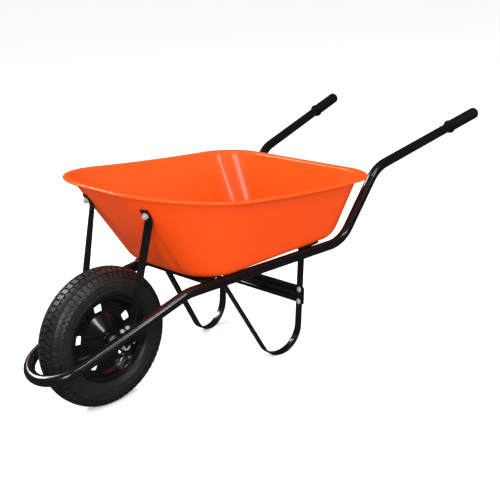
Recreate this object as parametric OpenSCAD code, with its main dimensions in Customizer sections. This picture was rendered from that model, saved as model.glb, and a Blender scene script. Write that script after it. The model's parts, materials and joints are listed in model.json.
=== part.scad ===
// Wheelbarrow: bent tube frame, pressed steel tub, flat-bar legs and struts, pneumatic wheel.
// X runs from the wheel to the grips, Y across, Z up. The floor is Z = 0.

/* [Wheel] */
// Outer diameter of the tyre
tyre_d = 362; // [340:1:390]
// Overall width of the tyre
tyre_w = 86; // [78:1:92]
// Diameter of the rim over its bead flanges
rim_d = 224; // [216:1:236]
// Width of the rim over its bead flanges
rim_w = 60; // [54:1:66]
// Thickness of the rim's sheet steel
rim_t = 1.6; // [1.2:0.1:2]
// Number of windows in the rim disc
window_count = 5; // [4:1:6]
// Diameter of the axle
axle_d = 12; // [10:0.5:14]
// Outer diameter of the hub tube
hub_d = 32; // [30:1:36]
// Length of the hub tube
hub_l = 80; // [76:1:84]
// Radial clearance between the bushes and the axle
bush_clear = 0.05; // [0.03:0.01:0.1]

/* [Frame] */
// Outer diameter of the frame tube
tube_d = 28; // [26:0.5:30]
// Wall of the frame tube
tube_wall = 1.5; // [1.2:0.1:2]
// Height of the tube's underside over the axle's centre line
tube_gap = 18; // [16:1:22]
// Distance of the tube's centre line from the middle plane, at the axle
tube_half = 103; // [98:1:110]
// Angle at which each side of the frame runs outwards to the rear
taper = 7.86; // [7:0.1:9]
// Reach of the front loop ahead of the axle
loop_reach = 203; // [200:1:225]
// Slope of the tube beside the wheel
front_slope = 19.8; // [17:0.1:21]
// Slope of the tube under the tub
deck_slope = 2.4; // [1:0.1:4]
// Slope of the tube behind the tub
rise_slope = 55; // [50:0.5:60]
// Slope of the handles
handle_slope = 13.8; // [10:0.1:18]
// Distance from the axle to the front bend
front_bend_x = 176; // [165:1:190]
// Distance of the rear bend ahead of the tub's rear rim
rear_bend_lead = 61; // [16:1:76]
// Level distance from the rear bend to the upper bend
rise_run = 137; // [125:1:185]
// Level distance from the upper bend to the end of each grip
handle_reach = 454; // [328:1:568]
// Bend radius of the lower bends
lower_bend_r = 95; // [80:1:110]
// Bend radius of the upper bend
upper_bend_r = 100; // [80:1:120]

/* [Grips] */
// Length of each grip
grip_l = 134; // [110:1:150]
// Outer diameter of each grip
grip_d = 35; // [33:0.5:38]
// Diameter of the collar at the inner end
grip_collar_d = 41; // [39:0.5:46]

/* [Tub] */
// Length of the tub over its rim
tub_l = 771; // [740:1:790]
// Width of the tub over its rim at the rear
tub_w = 596; // [560:1:640]
// How much narrower the rim is at the front
tub_front_narrowing = 14; // [0:1:40]
// Distance from the axle to the front of the rim
tub_front_x = 5; // [-10:1:15]
// Depth of the tub at its front end
tub_front_depth = 266; // [230:1:280]
// Depth of the tub at its rear end
tub_rear_depth = 183; // [165:1:210]
// Dip of the rim half way along
rim_sag = 14; // [0:1:25]
// Outward bow of the long sides
side_bow = 13; // [0:1:20]
// Length of the tub's floor outline
floor_l = 542; // [520:1:560]
// Distance of the floor's sides inside the tubes' centre lines, at the rear of the floor
floor_inset = 6.4; // [-5:0.1:16]
// How much narrower the floor is at the front
floor_front_narrowing = 52; // [30:1:70]
// Corner radius of the rim at the front
rim_front_r = 240; // [180:1:250]
// Corner radius of the rim at the rear
rim_rear_r = 115; // [90:1:140]
// Corner radius of the floor at the front
floor_front_r = 104; // [90:1:120]
// Corner radius of the floor at the rear
floor_rear_r = 100; // [80:1:120]
// Setback of the rear foot of the tub from the rear of its rim
rear_setback = 34; // [24:1:45]
// Width of the flat rim with its roll
lip_w = 18; // [16:1:22]
// Thickness of the tub's sheet steel
sheet_t = 1.2; // [1:0.1:1.5]

/* [Legs and struts] */
// Width of the flat bar
bar_w = 23; // [21:1:26]
// Thickness of the flat bar
bar_t = 5; // [4:0.5:6]
// Gap between the leg and the inner side of the tube
leg_gap = 3; // [1:0.5:6]
// Distance of the leg's rear bar ahead of the tub's rear rim, at the floor
leg_rear_lead = 196; // [186:1:216]
// Bend radius of the foot
foot_r = 75; // [60:1:85]
// Slope of the leg's front bar
leg_front_slope = 59.4; // [56:0.2:62]
// Backwards lean of the leg's rear bar
leg_lean = 3; // [0:0.5:5]
// Height of the tub's cross plates
plate_t = 6; // [5:0.5:8]
// Length of each cross plate along the frame
plate_l = 80; // [70:1:90]
// Height of the leg's cross member
member_h = 50; // [46:1:54]
// Height of the cross member's middle over the floor
member_z = 158; // [140:1:165]

/* [Fasteners] */
// Diameter of the tub, strut and leg bolts
bolt_d = 8; // [7:0.5:8]
// Diameter of the axle bracket bolts
small_bolt_d = 6; // [5:0.5:6]
// Diameter by which a bolt hole is larger than its bolt
hole_play = 0.6; // [0.4:0.1:1]

/* [Hidden] */
$fn = 64;

touch = 0.02;
sides = [-1, 1];
tube_r = tube_d / 2;
axle_z = tyre_d / 2;

// ---- places along the barrow that follow from the tub's rear rim, measured from the axle ----
rim_back_x = tub_front_x + tub_l;
rear_bend_x = rim_back_x - rear_bend_lead;
upper_bend_x = rear_bend_x + rise_run;
handle_end_x = upper_bend_x + handle_reach;
leg_rear_x = rim_back_x - leg_rear_lead;
tube_rise = tube_gap + tube_r;

// ---- frame path, one side, in its own upright plane: [distance along the plane, height] ----
plane_run = 1 / cos(taper);
side_spread = tan(taper);
tube_z0 = axle_z + tube_rise;
front_bend_z = tube_z0 + front_bend_x * tan(front_slope);
rear_bend_z = front_bend_z + (rear_bend_x - front_bend_x) * tan(deck_slope);
upper_bend_z = rear_bend_z + (upper_bend_x - rear_bend_x) * tan(rise_slope);
grip_dome = 6;
grip_round = 9;
handle_pitch = atan(tan(handle_slope) * cos(taper));
handle_along = cos(handle_pitch) * cos(taper);
grip_reach = (2 * grip_dome - grip_round) * handle_along
    + (grip_d / 2 - grip_round) * sqrt(1 - handle_along * handle_along) + grip_round;
handle_tube_x = handle_end_x - grip_reach;
handle_z = upper_bend_z + (handle_tube_x - upper_bend_x) * tan(handle_slope);

// Front loop, in the plane that both front runs share
loop_taper = atan(side_spread * cos(front_slope));
loop_apex = -loop_reach / cos(front_slope);
loop_r = (tube_half + tan(loop_taper) * loop_apex) * cos(loop_taper) / (1 - sin(loop_taper));
loop_centre = loop_apex + loop_r;
loop_end_x = (loop_centre - loop_r * sin(loop_taper)) * cos(front_slope);

tube_path = [
    [loop_end_x * plane_run, tube_z0 + loop_end_x * tan(front_slope)],
    [front_bend_x * plane_run, front_bend_z],
    [rear_bend_x * plane_run, rear_bend_z],
    [upper_bend_x * plane_run, upper_bend_z],
    [handle_tube_x * plane_run, handle_z]
];
tube_bends = [lower_bend_r, lower_bend_r, upper_bend_r];

// The whole model is shifted so that X = 0 is half way along it
front_end = -loop_reach - tube_r;
x_mid = (front_end + handle_end_x) / 2;

// ---- heights and places on the sloping deck that the tubes form under the tub ----
function tube_half_at(x) = tube_half + x * side_spread;
function deck_z(x, above) = front_bend_z + (x - front_bend_x) * tan(deck_slope) + above / cos(deck_slope);
plate_under = tube_r + touch;
plate_over = plate_under + plate_t;
tub_under = plate_over + touch;

// ---- legs: [distance along the leg's plane, height] ----
leg_inset = tube_r + leg_gap + bar_w / 2;
function leg_half_at(x) = tube_half_at(x) - leg_inset / cos(taper);
foot_mid_r = foot_r - bar_t / 2;
tab_l = 34;
bar_bend_r = 7;
// The tab is level across the bar and the deck is not quite
tab_settle = touch + bar_w / 2 * sin(taper) * tan(deck_slope);
deck_in_plane = atan(tan(deck_slope) * cos(taper));
// The foot is one arc whose outer side touches the floor
foot_centre = [(leg_rear_x - bar_t / 2) * plane_run - foot_mid_r * cos(leg_lean), foot_r];
front_dir = [-cos(leg_front_slope), sin(leg_front_slope)];
front_tangent = foot_centre + foot_mid_r * [-sin(leg_front_slope), -cos(leg_front_slope)];
rear_tangent = foot_centre + foot_mid_r * [cos(leg_lean), -sin(leg_lean)];
// Where the two bars would meet under the floor
meet_gap = rear_tangent - front_tangent;
meet_det = front_dir[0] * cos(leg_lean) - front_dir[1] * sin(leg_lean);
meet_run = (meet_gap[0] * cos(leg_lean) - meet_gap[1] * sin(leg_lean)) / meet_det;
leg_meet = front_tangent + meet_run * front_dir;
// Upper corners, where each bar turns into its tab
function bar_hit(p, slope_x) =
    let (k = tan(deck_in_plane), z0 = deck_z(0, plate_under - touch - tab_settle) - bar_t / 2)
    let (z = (z0 + k * (p[0] - slope_x * p[1])) / (1 - k * slope_x))
    [p[0] + slope_x * (z - p[1]), z];
front_corner = bar_hit(front_tangent, -1 / tan(leg_front_slope));
rear_corner = bar_hit(rear_tangent, tan(leg_lean));
tab_dir = [cos(deck_in_plane), sin(deck_in_plane)];
leg_path = [front_corner - tab_l * tab_dir, front_corner, leg_meet, rear_corner, rear_corner + tab_l * tab_dir];
leg_bends = [bar_bend_r, foot_mid_r, bar_bend_r];
bolt_from_corner = 20;
front_bolt_x = (front_corner[0] - bolt_from_corner) * cos(taper);
rear_bolt_x = (rear_corner[0] + bolt_from_corner) * cos(taper);
plate_lead = 4;
plate_tail = 48;
plate_xs = [
    front_corner[0] * cos(taper) + plate_lead - plate_l,
    rear_corner[0] * cos(taper) + plate_tail - plate_l
];

// ---- cross member behind the legs' rear bars ----
member_t = 2.5;
member_lap = 30;
member_bolt_gap = 36;
member_rib = 6;

// ---- tub: rim and floor outlines ----
edge_steps = 6;
corner_steps = 10;
floor_back_x = rim_back_x - rear_setback;
floor_w = 2 * (tube_half_at(floor_back_x) - floor_inset);
floor_front_x = floor_back_x - floor_l;
// The wall meets the rim this far inside the rim's outer edge
rim_inner = lip_w;

// Outline of one level, counter-clockwise from the front: [x, y] and the outward direction
function corner(cx, cy, r, a0, a1) = [
    for (i = [0:corner_steps]) let (a = a0 + (a1 - a0) * i / corner_steps) [cx + r * cos(a), cy + r * sin(a)]
];
function edge(p, q) = [for (i = [1:edge_steps - 1]) p + (q - p) * i / edge_steps];
function outline(x0, x1, half0, half1, r0, r1) =
    let (s = atan((half1 - half0) / (x1 - x0)))
    let (
        a = corner(x0 + r0, -half0 + r0, r0, 180, 270 - s),
        b = corner(x1 - r1, -half1 + r1, r1, 270 - s, 360),
        c = corner(x1 - r1, half1 - r1, r1, 0, 90 + s),
        d = corner(x0 + r0, half0 - r0, r0, 90 + s, 180)
    )
    let (last = corner_steps)
    concat(a, edge(a[last], b[0]), b, edge(b[last], c[0]), c, edge(c[last], d[0]), d, edge(d[last], a[0]));
function bowed(points, x0, x1, half, bow) = [
    for (p = points) let (t = (p[0] - x0) / (x1 - x0)) [p[0], p[1] * (1 + 4 * t * (1 - t) * bow / half)]
];
// The lip widens at the rear corners, where the wall is rounder than the rim
wall_rear_r = rim_rear_r + 8;
rim_points = bowed(
    outline(
        tub_front_x + rim_inner, rim_back_x - rim_inner,
        (tub_w - tub_front_narrowing) / 2 - rim_inner, tub_w / 2 - rim_inner,
        rim_front_r - rim_inner, wall_rear_r
    ),
    tub_front_x, rim_back_x, tub_w / 2, side_bow
);
floor_points = outline(
    floor_front_x, floor_back_x, (floor_w - floor_front_narrowing) / 2, floor_w / 2, floor_front_r, floor_rear_r
);
around = len(rim_points);
rim_front_z = deck_z(floor_front_x, tub_under) + tub_front_depth;
rim_rear_z = deck_z(floor_back_x, tub_under) + tub_rear_depth;
function rim_z(x) =
    let (t = (x - tub_front_x) / tub_l) rim_front_z + (rim_rear_z - rim_front_z) * t - 4 * rim_sag * t * (1 - t);
edge_points = bowed(
    outline(
        tub_front_x, rim_back_x, (tub_w - tub_front_narrowing) / 2, tub_w / 2, rim_front_r, rim_rear_r
    ),
    tub_front_x, rim_back_x, tub_w / 2, side_bow
);
function rim_edge_point(j, z) = [edge_points[j][0], edge_points[j][1], z];
function flat(p) = [p[0], p[1], deck_z(p[0], tub_under)];
function unit(v) = v / norm(v);
function outward(points, j) =
    let (d = points[(j + 1) % around] - points[(j + around - 1) % around]) unit([d[1], -d[0]]);
function blend(a, b, c, s) = a * (1 - s) * (1 - s) + b * 2 * s * (1 - s) + c * s * s;
// The curve between floor and wall is wider at the two ends than along the sides
knee_side = 27;
knee_end = 48;
floor_flat = 10;
lip_bend = 8;
roll_r = 3.5;
knee_steps = 5;
roll_steps = 5;
roll_turn = 165;
// One upright line of the tub's outside, from the floor to the end of the rolled rim
function tub_line(j) =
    let (
        f = floor_points[j],
        nf = outward(floor_points, j),
        nr = outward(rim_points, j),
        knee = knee_side + (knee_end - knee_side) * abs(nf[0]),
        b = flat(f),
        r = [rim_points[j][0], rim_points[j][1], rim_z(rim_points[j][0])],
        up = unit(r - b),
        out = [nr[0], nr[1], 0],
        roll = rim_edge_point(j, rim_z(rim_points[j][0])) - out * roll_r
    )
    concat(
        [flat(f - nf * (knee + floor_flat))],
        [for (i = [0:knee_steps]) blend(flat(f - nf * knee), b, b + up * knee, i / knee_steps)],
        [for (i = [1:2]) b + up * knee + (r - b - up * (knee + lip_bend)) * i / 3],
        [for (i = [0:3]) blend(r - up * lip_bend, r, r + out * lip_bend, i / 3)],
        [for (i = [0:roll_steps]) let (a = roll_turn * i / roll_steps)
            roll + out * roll_r * sin(a) * (1 - sheet_t / roll_r) - [0, 0, (roll_r - sheet_t) * (1 - cos(a))]]
    );
tub_out = [for (j = [0:around - 1]) tub_line(j)];
levels = len(tub_out[0]);
function tub_normal(j, k) =
    let (
        along = tub_out[(j + 1) % around][k] - tub_out[(j + around - 1) % around][k],
        rise = tub_out[j][min(k + 1, levels - 1)] - tub_out[j][max(k - 1, 0)]
    )
    unit(cross(rise, along));
tub_in = [for (j = [0:around - 1]) [for (k = [0:levels - 1]) tub_out[j][k] + tub_normal(j, k) * sheet_t]];

// ---- struts: a flat bar that stands on the tube and lies on the tub's front wall ----
strut_bolt_y = 113;
strut_bolt_drop = 55;
strut_foot_x = 20;
strut_foot_front = -18;
strut_inset = 6;
strut_tab = 20;

// ---- wheel ----
rim_r = rim_d / 2;
flange_half = rim_w / 2;
seat_r = rim_r - 10.5;
web_r = seat_r - 9;
disc_in_r = 58;
cone_y = 24;
hub_r = hub_d / 2;
hub_fit = 0.05;
hub_half = hub_l / 2;
bush_r = hub_r - 3;
bush_flange_t = 3;
bush_l = 22;
axle_r = axle_d / 2;
window_r = 79;
window_t = 20;
window_w = 23;
bead_gap = 0.3;
casing = 6;

// ---- axle brackets ----
bracket_t = 4;
bracket_in = 80;
bracket_l = 46;
axle_nut_t = 8;
washer_t = 1.6;
axle_end = bracket_in + bracket_t + washer_t + axle_nut_t + 0.8;
spacer_gap = 0.5;
spacer_clear = 0.3;
bracket_bolt_xs = [-10, 4];

// ---- fasteners ----
nut_t = 6.5;
small_nut_t = 5;
thread_out = 4;
bolt_washer_t = 1.6;

// ---- valve and rivets ----
valve_angle = 200;
valve_tilt = 35;
valve_r = 4;
valve_l = 44;
valve_tip_r = 2.6;
valve_tip_l = 6;
window_angle = 98;
rivet_d = 6;
rivet_head_d = 12;
rivet_head_t = 2.4;

// ---- how finely the bends are cut ----
tube_facets = 20;
side_bend_steps = 8;
loop_steps = 22;
foot_steps = 30;
tab_bend_steps = 6;

// ---- small shared shapes ----
module place() {
    translate([-x_mid, 0, 0]) children();
}

// Moves a shape drawn in the X-Z plane of a side into that side's tapered plane
module side_plane(side, inset = 0) {
    translate([0, side * (tube_half - inset / cos(taper)), 0]) rotate([0, 0, side * taper]) children();
}

// Hexagon nut standing on Z = 0
module nut(across, thick, hole) {
    difference() {
        cylinder(h = thick, d = across / cos(30), $fn = 6);
        translate([0, 0, -1]) cylinder(h = thick + 2, d = hole);
    }
}

module washer(outer, thick, hole) {
    difference() {
        cylinder(h = thick, d = outer);
        translate([0, 0, -1]) cylinder(h = thick + 2, d = hole);
    }
}

// Dome head on top of a shank that runs down from Z = 0
module dome_bolt(d, shank) {
    head_r = d * 1.05;
    head_h = d * 0.5;
    ball_r = (head_r * head_r + head_h * head_h) / (2 * head_h);
    translate([0, 0, -shank]) cylinder(h = shank + head_h / 2, d = d);
    intersection() {
        translate([0, 0, head_h - ball_r]) sphere(r = ball_r);
        cylinder(h = head_h + 1, r = head_r);
    }
}

module hex_bolt(d, across, head, shank) {
    translate([0, 0, -shank]) cylinder(h = shank + head / 2, d = d);
    cylinder(h = head, d = across / cos(30), $fn = 6);
}

function seg_angle(path, i) = atan2(path[i + 1][1] - path[i][1], path[i + 1][0] - path[i][0]);
function turn_at(path, i) = seg_angle(path, i) - seg_angle(path, i - 1);
function turn_norm(a) = a > 180 ? a - 360 : a < -180 ? a + 360 : a;
function bend_cut(path, radii, i) =
    (i == 0 || i == len(path) - 1) ? 0 : radii[i - 1] * tan(abs(turn_norm(turn_at(path, i))) / 2);

// Outline of a sheet of the given thickness whose middle follows a line of points
function sheet_normal(p, q) = let (d = unit(q - p)) [-d[1], d[0]];
function sheet_mitre(line, i) =
    let (last = len(line) - 1, a = max(i - 1, 0), b = min(i, last - 1))
    let (m = sheet_normal(line[a], line[a + 1]), n = sheet_normal(line[b], line[b + 1])) (m + n) / (1 + m * n);
function thick(line, t) = concat(
    [for (i = [0:len(line) - 1]) line[i] + sheet_mitre(line, i) * t / 2],
    [for (i = [len(line) - 1:-1:0]) line[i] - sheet_mitre(line, i) * t / 2]
);

// Middle line of a run in its own plane, with its bends as arcs
function arc_points(path, radii, i, steps) =
    let (
        a = seg_angle(path, i - 1),
        turn = turn_norm(turn_at(path, i)),
        way = sign(turn),
        r = radii[i - 1],
        centre = path[i] - bend_cut(path, radii, i) * [cos(a), sin(a)] + way * r * [-sin(a), cos(a)]
    )
    [for (n = [0:steps]) let (b = a - way * 90 + turn * n / steps) centre + r * [cos(b), sin(b)]];

// ---- frame ----
side_line = concat(
    [for (i = [1:3]) each arc_points(tube_path, tube_bends, i, side_bend_steps)],
    [tube_path[4]]
);
function on_side(p, side) = [p[0] * cos(taper), side * (tube_half + p[0] * sin(taper)), p[1]];
function loop_point(a) =
    let (along = loop_centre + loop_r * cos(a))
    [along * cos(front_slope), loop_r * sin(a), tube_z0 + along * sin(front_slope)];
frame_line = concat(
    [for (i = [len(side_line) - 1:-1:0]) on_side(side_line[i], -1)],
    [for (i = [0:loop_steps]) loop_point(270 - loop_taper - (180 - 2 * loop_taper) * i / loop_steps)],
    [for (p = side_line) on_side(p, 1)]
);
function tube_ring(i, r) =
    let (
        last = len(frame_line) - 1,
        p = frame_line[i],
        back = i > 0 ? unit(p - frame_line[i - 1]) : unit(frame_line[1] - p),
        on = i < last ? unit(frame_line[i + 1] - p) : back,
        way = unit(back + on),
        u = unit(cross(way, [0, 0, 1])),
        v = cross(u, way)
    )
    [for (n = [0:tube_facets - 1]) let (a = 360 * n / tube_facets) p + r * (u * cos(a) + v * sin(a))];

module frame_tube() {
    rings = len(frame_line);
    inner = rings * tube_facets;
    function at(i, n) = i * tube_facets + n % tube_facets;
    skin = [for (i = [0:rings - 2]) for (n = [0:tube_facets - 1])
        each [[at(i, n), at(i + 1, n + 1), at(i + 1, n)], [at(i, n), at(i, n + 1), at(i + 1, n + 1)]]];
    bore = [for (f = skin) [f[2] + inner, f[1] + inner, f[0] + inner]];
    first = [for (n = [0:tube_facets - 1]) let (a = at(0, n), b = at(0, n + 1))
        each [[a, b + inner, b], [a, a + inner, b + inner]]];
    last = [for (n = [0:tube_facets - 1]) let (a = at(rings - 1, n), b = at(rings - 1, n + 1))
        each [[a, b, b + inner], [a, b + inner, a + inner]]];
    color("#151515") place() difference() {
        polyhedron(
            points = concat(
                [for (i = [0:rings - 1]) each tube_ring(i, tube_r)],
                [for (i = [0:rings - 1]) each tube_ring(i, tube_r - tube_wall)]
            ),
            faces = concat(skin, bore, first, last)
        );
        for (side = sides) for (x = bracket_bolt_xs)
            at_tube(side, x) cylinder(h = 2 * tube_d, d = small_bolt_d + hole_play, center = true);
    }
}

// A frame whose Z axis runs out along a handle, at the end of its tube
module at_handle(side) {
    side_plane(side)
        translate([handle_tube_x * plane_run, 0, handle_z])
            rotate([0, 90 - handle_pitch, 0]) children();
}

module grip(side) {
    collar_l = 7;
    bore_l = grip_l - 2 * grip_dome;
    color("#1c1c1c") place() at_handle(side)
        difference() {
            translate([0, 0, -bore_l]) rotate_extrude()
                polygon(concat(
                    [[0, 0], [grip_collar_d / 2 - 1, 0], [grip_collar_d / 2, 1], [grip_collar_d / 2, collar_l - 1]],
                    [[grip_collar_d / 2 - 1, collar_l], [grip_d / 2, collar_l + 2]],
                    [for (a = [0:15:90])
                        [grip_d / 2 - grip_round * (1 - cos(a)), grip_l - grip_round * (1 - sin(a))]],
                    [[0, grip_l]]
                ));
            translate([0, 0, -bore_l - 1]) cylinder(h = bore_l + 1.5, d = tube_d + 0.2);
        }
}

// ---- tub ----
module tub() {
    shell = around * levels;
    function at(j, k) = (j % around) * levels + k;
    skin = [for (j = [0:around - 1]) for (k = [0:levels - 2])
        each [[at(j, k), at(j, k + 1), at(j + 1, k + 1)], [at(j, k), at(j + 1, k + 1), at(j + 1, k)]]];
    lining = [for (f = skin) [f[2] + shell, f[1] + shell, f[0] + shell]];
    rim_edge = [for (j = [0:around - 1])
        let (a = at(j, levels - 1), b = at(j + 1, levels - 1)) each [[a, a + shell, b + shell], [a, b + shell, b]]];
    floor_centre = flat([(floor_front_x + floor_back_x) / 2, 0]);
    floor_under = [for (j = [0:around - 1]) [at(j, 0), at(j + 1, 0), 2 * shell]];
    floor_top = [for (j = [0:around - 1]) [at(j + 1, 0) + shell, at(j, 0) + shell, 2 * shell + 1]];
    color("#ff5a1f") place() difference() {
        polyhedron(
            points = concat(
                [for (grid = [tub_out, tub_in]) for (line = grid) each line],
                [floor_centre, floor_centre + tub_normal(0, 0) * sheet_t]
            ),
            faces = concat(skin, lining, rim_edge, floor_under, floor_top)
        );
        for_tub_bolts() translate([0, 0, -5]) cylinder(h = 20, d = bolt_d + hole_play);
        for (side = sides) at_strut_bolt(side) translate([0, 0, -10]) cylinder(h = 30, d = bolt_d + hole_play);
    }
}

// Upright frames on the tub's floor, square to the deck, at the four tub bolts
module for_tub_bolts() {
    for (side = sides) for (x = [front_bolt_x, rear_bolt_x])
        translate([x, side * leg_half_at(x), deck_z(x, tub_under)]) rotate([0, -deck_slope, 0]) children();
}

module cross_plate(x0) {
    corner_r = 8;
    plate_overhang = 3;
    half = tube_half_at(x0) + plate_overhang;
    color("#141414") place() difference() {
        translate([x0, 0, deck_z(x0, plate_under)]) rotate([0, -deck_slope, 0])
            linear_extrude(height = plate_t)
                union() {
                    translate([corner_r, -half]) square([plate_l - 2 * corner_r, 2 * half]);
                    translate([0, -half + corner_r]) square([plate_l, 2 * (half - corner_r)]);
                    for (side = sides) for (x = [corner_r, plate_l - corner_r])
                        translate([x, side * (half - corner_r)]) circle(r = corner_r);
                }
        for_tub_bolts() translate([0, 0, -plate_t - 2]) cylinder(h = plate_t + 4, d = bolt_d + hole_play);
    }
}

module cross_plate_front() { cross_plate(plate_xs[0]); }
module cross_plate_rear() { cross_plate(plate_xs[1]); }

// ---- legs ----
leg_line = concat(
    [leg_path[0]],
    arc_points(leg_path, leg_bends, 1, tab_bend_steps),
    arc_points(leg_path, leg_bends, 2, foot_steps),
    arc_points(leg_path, leg_bends, 3, tab_bend_steps),
    [leg_path[4]]
);
module leg(side) {
    color("#151515") place() difference() {
        side_plane(side, leg_inset) rotate([90, 0, 0])
            linear_extrude(height = bar_w, center = true) polygon(thick(leg_line, bar_t));
        for_tub_bolts() translate([0, 0, -30]) cylinder(h = 30, d = bolt_d + hole_play);
        for_member_bolts() translate([0, 0, -10]) cylinder(h = 20, d = bolt_d + hole_play);
    }
}

// Frames on the rear bars of the legs: origin in the bar, Z forwards out of its front face
module on_rear_bar(side, up) {
    side_plane(side, leg_inset)
        translate([rear_tangent[0] + tan(leg_lean) * (member_z + up - rear_tangent[1]), 0, member_z + up])
            rotate([0, -90 + leg_lean, 0]) children();
}

module for_member_bolts() {
    for (side = sides) for (up = [-member_bolt_gap / 2, member_bolt_gap / 2]) on_rear_bar(side, up) children();
}

// Section of the cross member: two pressed ribs and two turned edges, [back, up]
function member_section() =
    let (h = member_h / 2 - member_t / 2, rib = member_h / 5, w = member_h / 11, d = member_rib)
    [
        [d, -h], [0, -h], [0, -rib - w], [d, -rib - w / 3], [d, -rib + w / 3], [0, -rib + w],
        [0, rib - w], [d, rib - w / 3], [d, rib + w / 3], [0, rib + w], [0, h], [d, h]
    ];

module leg_cross_member() {
    face = bar_t / 2 + touch;
    mid_x = (rear_tangent[0] + tan(leg_lean) * (member_z - rear_tangent[1])) * cos(taper);
    half = leg_half_at(mid_x) - bar_w / 2 * cos(taper);
    back = (face + member_t / 2) * plane_run + bar_w / 2 * sin(taper);
    color("#151515") place() difference() {
        union() {
            for (side = sides) on_rear_bar(side, 0)
                translate([-member_h / 2, -member_lap / 2, -face - member_t])
                    cube([member_h, member_lap, member_t]);
            translate([mid_x + back, 0, member_z])
                rotate([90, leg_lean, 0])
                    linear_extrude(height = 2 * half, center = true) polygon(thick(member_section(), member_t));
        }
        for_member_bolts() translate([0, 0, -30]) cylinder(h = 40, d = bolt_d + hole_play);
    }
}

// ---- struts ----
// Places on the outside of the tub's front wall, as a share of the way down from the rim
function wall_point(j, share) =
    let (f = flat(floor_points[j % around]), r = rim_points[j % around])
    let (top = [r[0], r[1], rim_z(r[0])])
    top + (f - top) * share;
strut_share = strut_bolt_drop / (rim_front_z - deck_z(floor_front_x, tub_under));
strut_hits = [for (j = [0:corner_steps - 1])
    let (p = wall_point(j, strut_share), q = wall_point(j + 1, strut_share))
    if (p[1] > -strut_bolt_y && q[1] <= -strut_bolt_y) [j, (p[1] + strut_bolt_y) / (p[1] - q[1])]];
strut_j = strut_hits[0][0];
strut_seat = wall_point(strut_j, strut_share) * (1 - strut_hits[0][1])
    + wall_point(strut_j + 1, strut_share) * strut_hits[0][1];
strut_normal = unit(cross(
    wall_point(strut_j, 1) - wall_point(strut_j, 0),
    wall_point(strut_j + 1, strut_share) - wall_point(strut_j, strut_share)
));
strut_down = unit(cross([-strut_normal[1], strut_normal[0], 0], strut_normal));

// Frame on the outside of the wall, Z straight out of it, X down the slope
module at_strut_bolt(side) {
    mirror([0, side > 0 ? 1 : 0, 0])
        translate(strut_seat)
            rotate([0, 90 - asin(strut_normal[2]), atan2(strut_normal[1], strut_normal[0])]) children();
}

// Frame on a side's tube beside the wheel: X along the tube, Z square to it and up
tube_pitch = atan(tan(front_slope) * cos(taper));
module at_tube(side, x) {
    side_plane(side)
        translate([x * plane_run, 0, tube_z0 + x * tan(front_slope)]) rotate([0, -tube_pitch, 0]) children();
}

// The left strut's middle line: along the tube, up to the tub and along its wall
tube_along = [cos(taper) * cos(tube_pitch), -sin(taper) * cos(tube_pitch), sin(tube_pitch)];
tube_across = [-sin(taper), -cos(taper), 0];
tube_over = cross(tube_across, tube_along);
function over_tube(x, up) = [x, -tube_half_at(x), tube_z0 + x * tan(front_slope)] + tube_over * up;
strut_lift = bar_t / 2 + touch;
wall_gap = 0.2;
foot_from = over_tube(strut_foot_front, tube_r + strut_lift) - tube_across * strut_inset;
foot_to = over_tube(strut_foot_x, tube_r + strut_lift) - tube_across * strut_inset;
tab_from = strut_seat + strut_normal * (strut_lift + wall_gap) + strut_down * strut_tab;
tab_to = strut_seat + strut_normal * (strut_lift + wall_gap) - strut_down * strut_tab * 0.75;
wall_across = unit(cross(strut_down, strut_normal));
strut_bend = 6;
bend_steps = 4;
function toward(p, q, d) = p + unit(q - p) * d;
function rounded_corner(p, q, r) = [for (i = [0:bend_steps])
    blend(toward(q, p, strut_bend), q, toward(q, r, strut_bend), i / bend_steps)];
strut_line = concat(
    [foot_from],
    rounded_corner(foot_from, foot_to, tab_from),
    [for (i = [1:4]) foot_to + (tab_from - foot_to) * i / 5],
    rounded_corner(foot_to, tab_from, tab_to),
    [tab_to]
);
function strut_twist(i) =
    let (low = foot_to[2], high = tab_from[2]) max(0, min(1, (strut_line[i][2] - low - 10) / (high - low - 20)));
function strut_ring(i) =
    let (
        last = len(strut_line) - 1,
        way = unit(strut_line[min(i + 1, last)] - strut_line[max(i - 1, 0)]),
        lean = tube_across * (1 - strut_twist(i)) + wall_across * strut_twist(i),
        wide = unit(lean - way * (lean * way)),
        deep = cross(way, wide)
    )
    [for (c = [[1, 1], [-1, 1], [-1, -1], [1, -1]]) strut_line[i] + wide * c[0] * bar_w / 2 + deep * c[1] * bar_t / 2];

module strut(side) {
    rings = len(strut_line);
    points = [for (i = [0:rings - 1]) each strut_ring(i)];
    walls = [for (i = [0:rings - 2]) for (c = [0:3])
        let (a = 4 * i + c, b = 4 * i + (c + 1) % 4) each [[a, a + 4, b + 4], [a, b + 4, b]]];
    ends = [[0, 1, 2, 3], [4 * rings - 1, 4 * rings - 2, 4 * rings - 3, 4 * rings - 4]];
    color("#151515") place() difference() {
        mirror([0, side > 0 ? 1 : 0, 0]) polyhedron(points = points, faces = concat(walls, ends));
        at_strut_bolt(side) translate([0, 0, -5]) cylinder(h = 20, d = bolt_d + hole_play);
        for (x = bracket_bolt_xs) at_tube(side, x) cylinder(h = tube_d, d = small_bolt_d + hole_play);
    }
}

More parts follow.
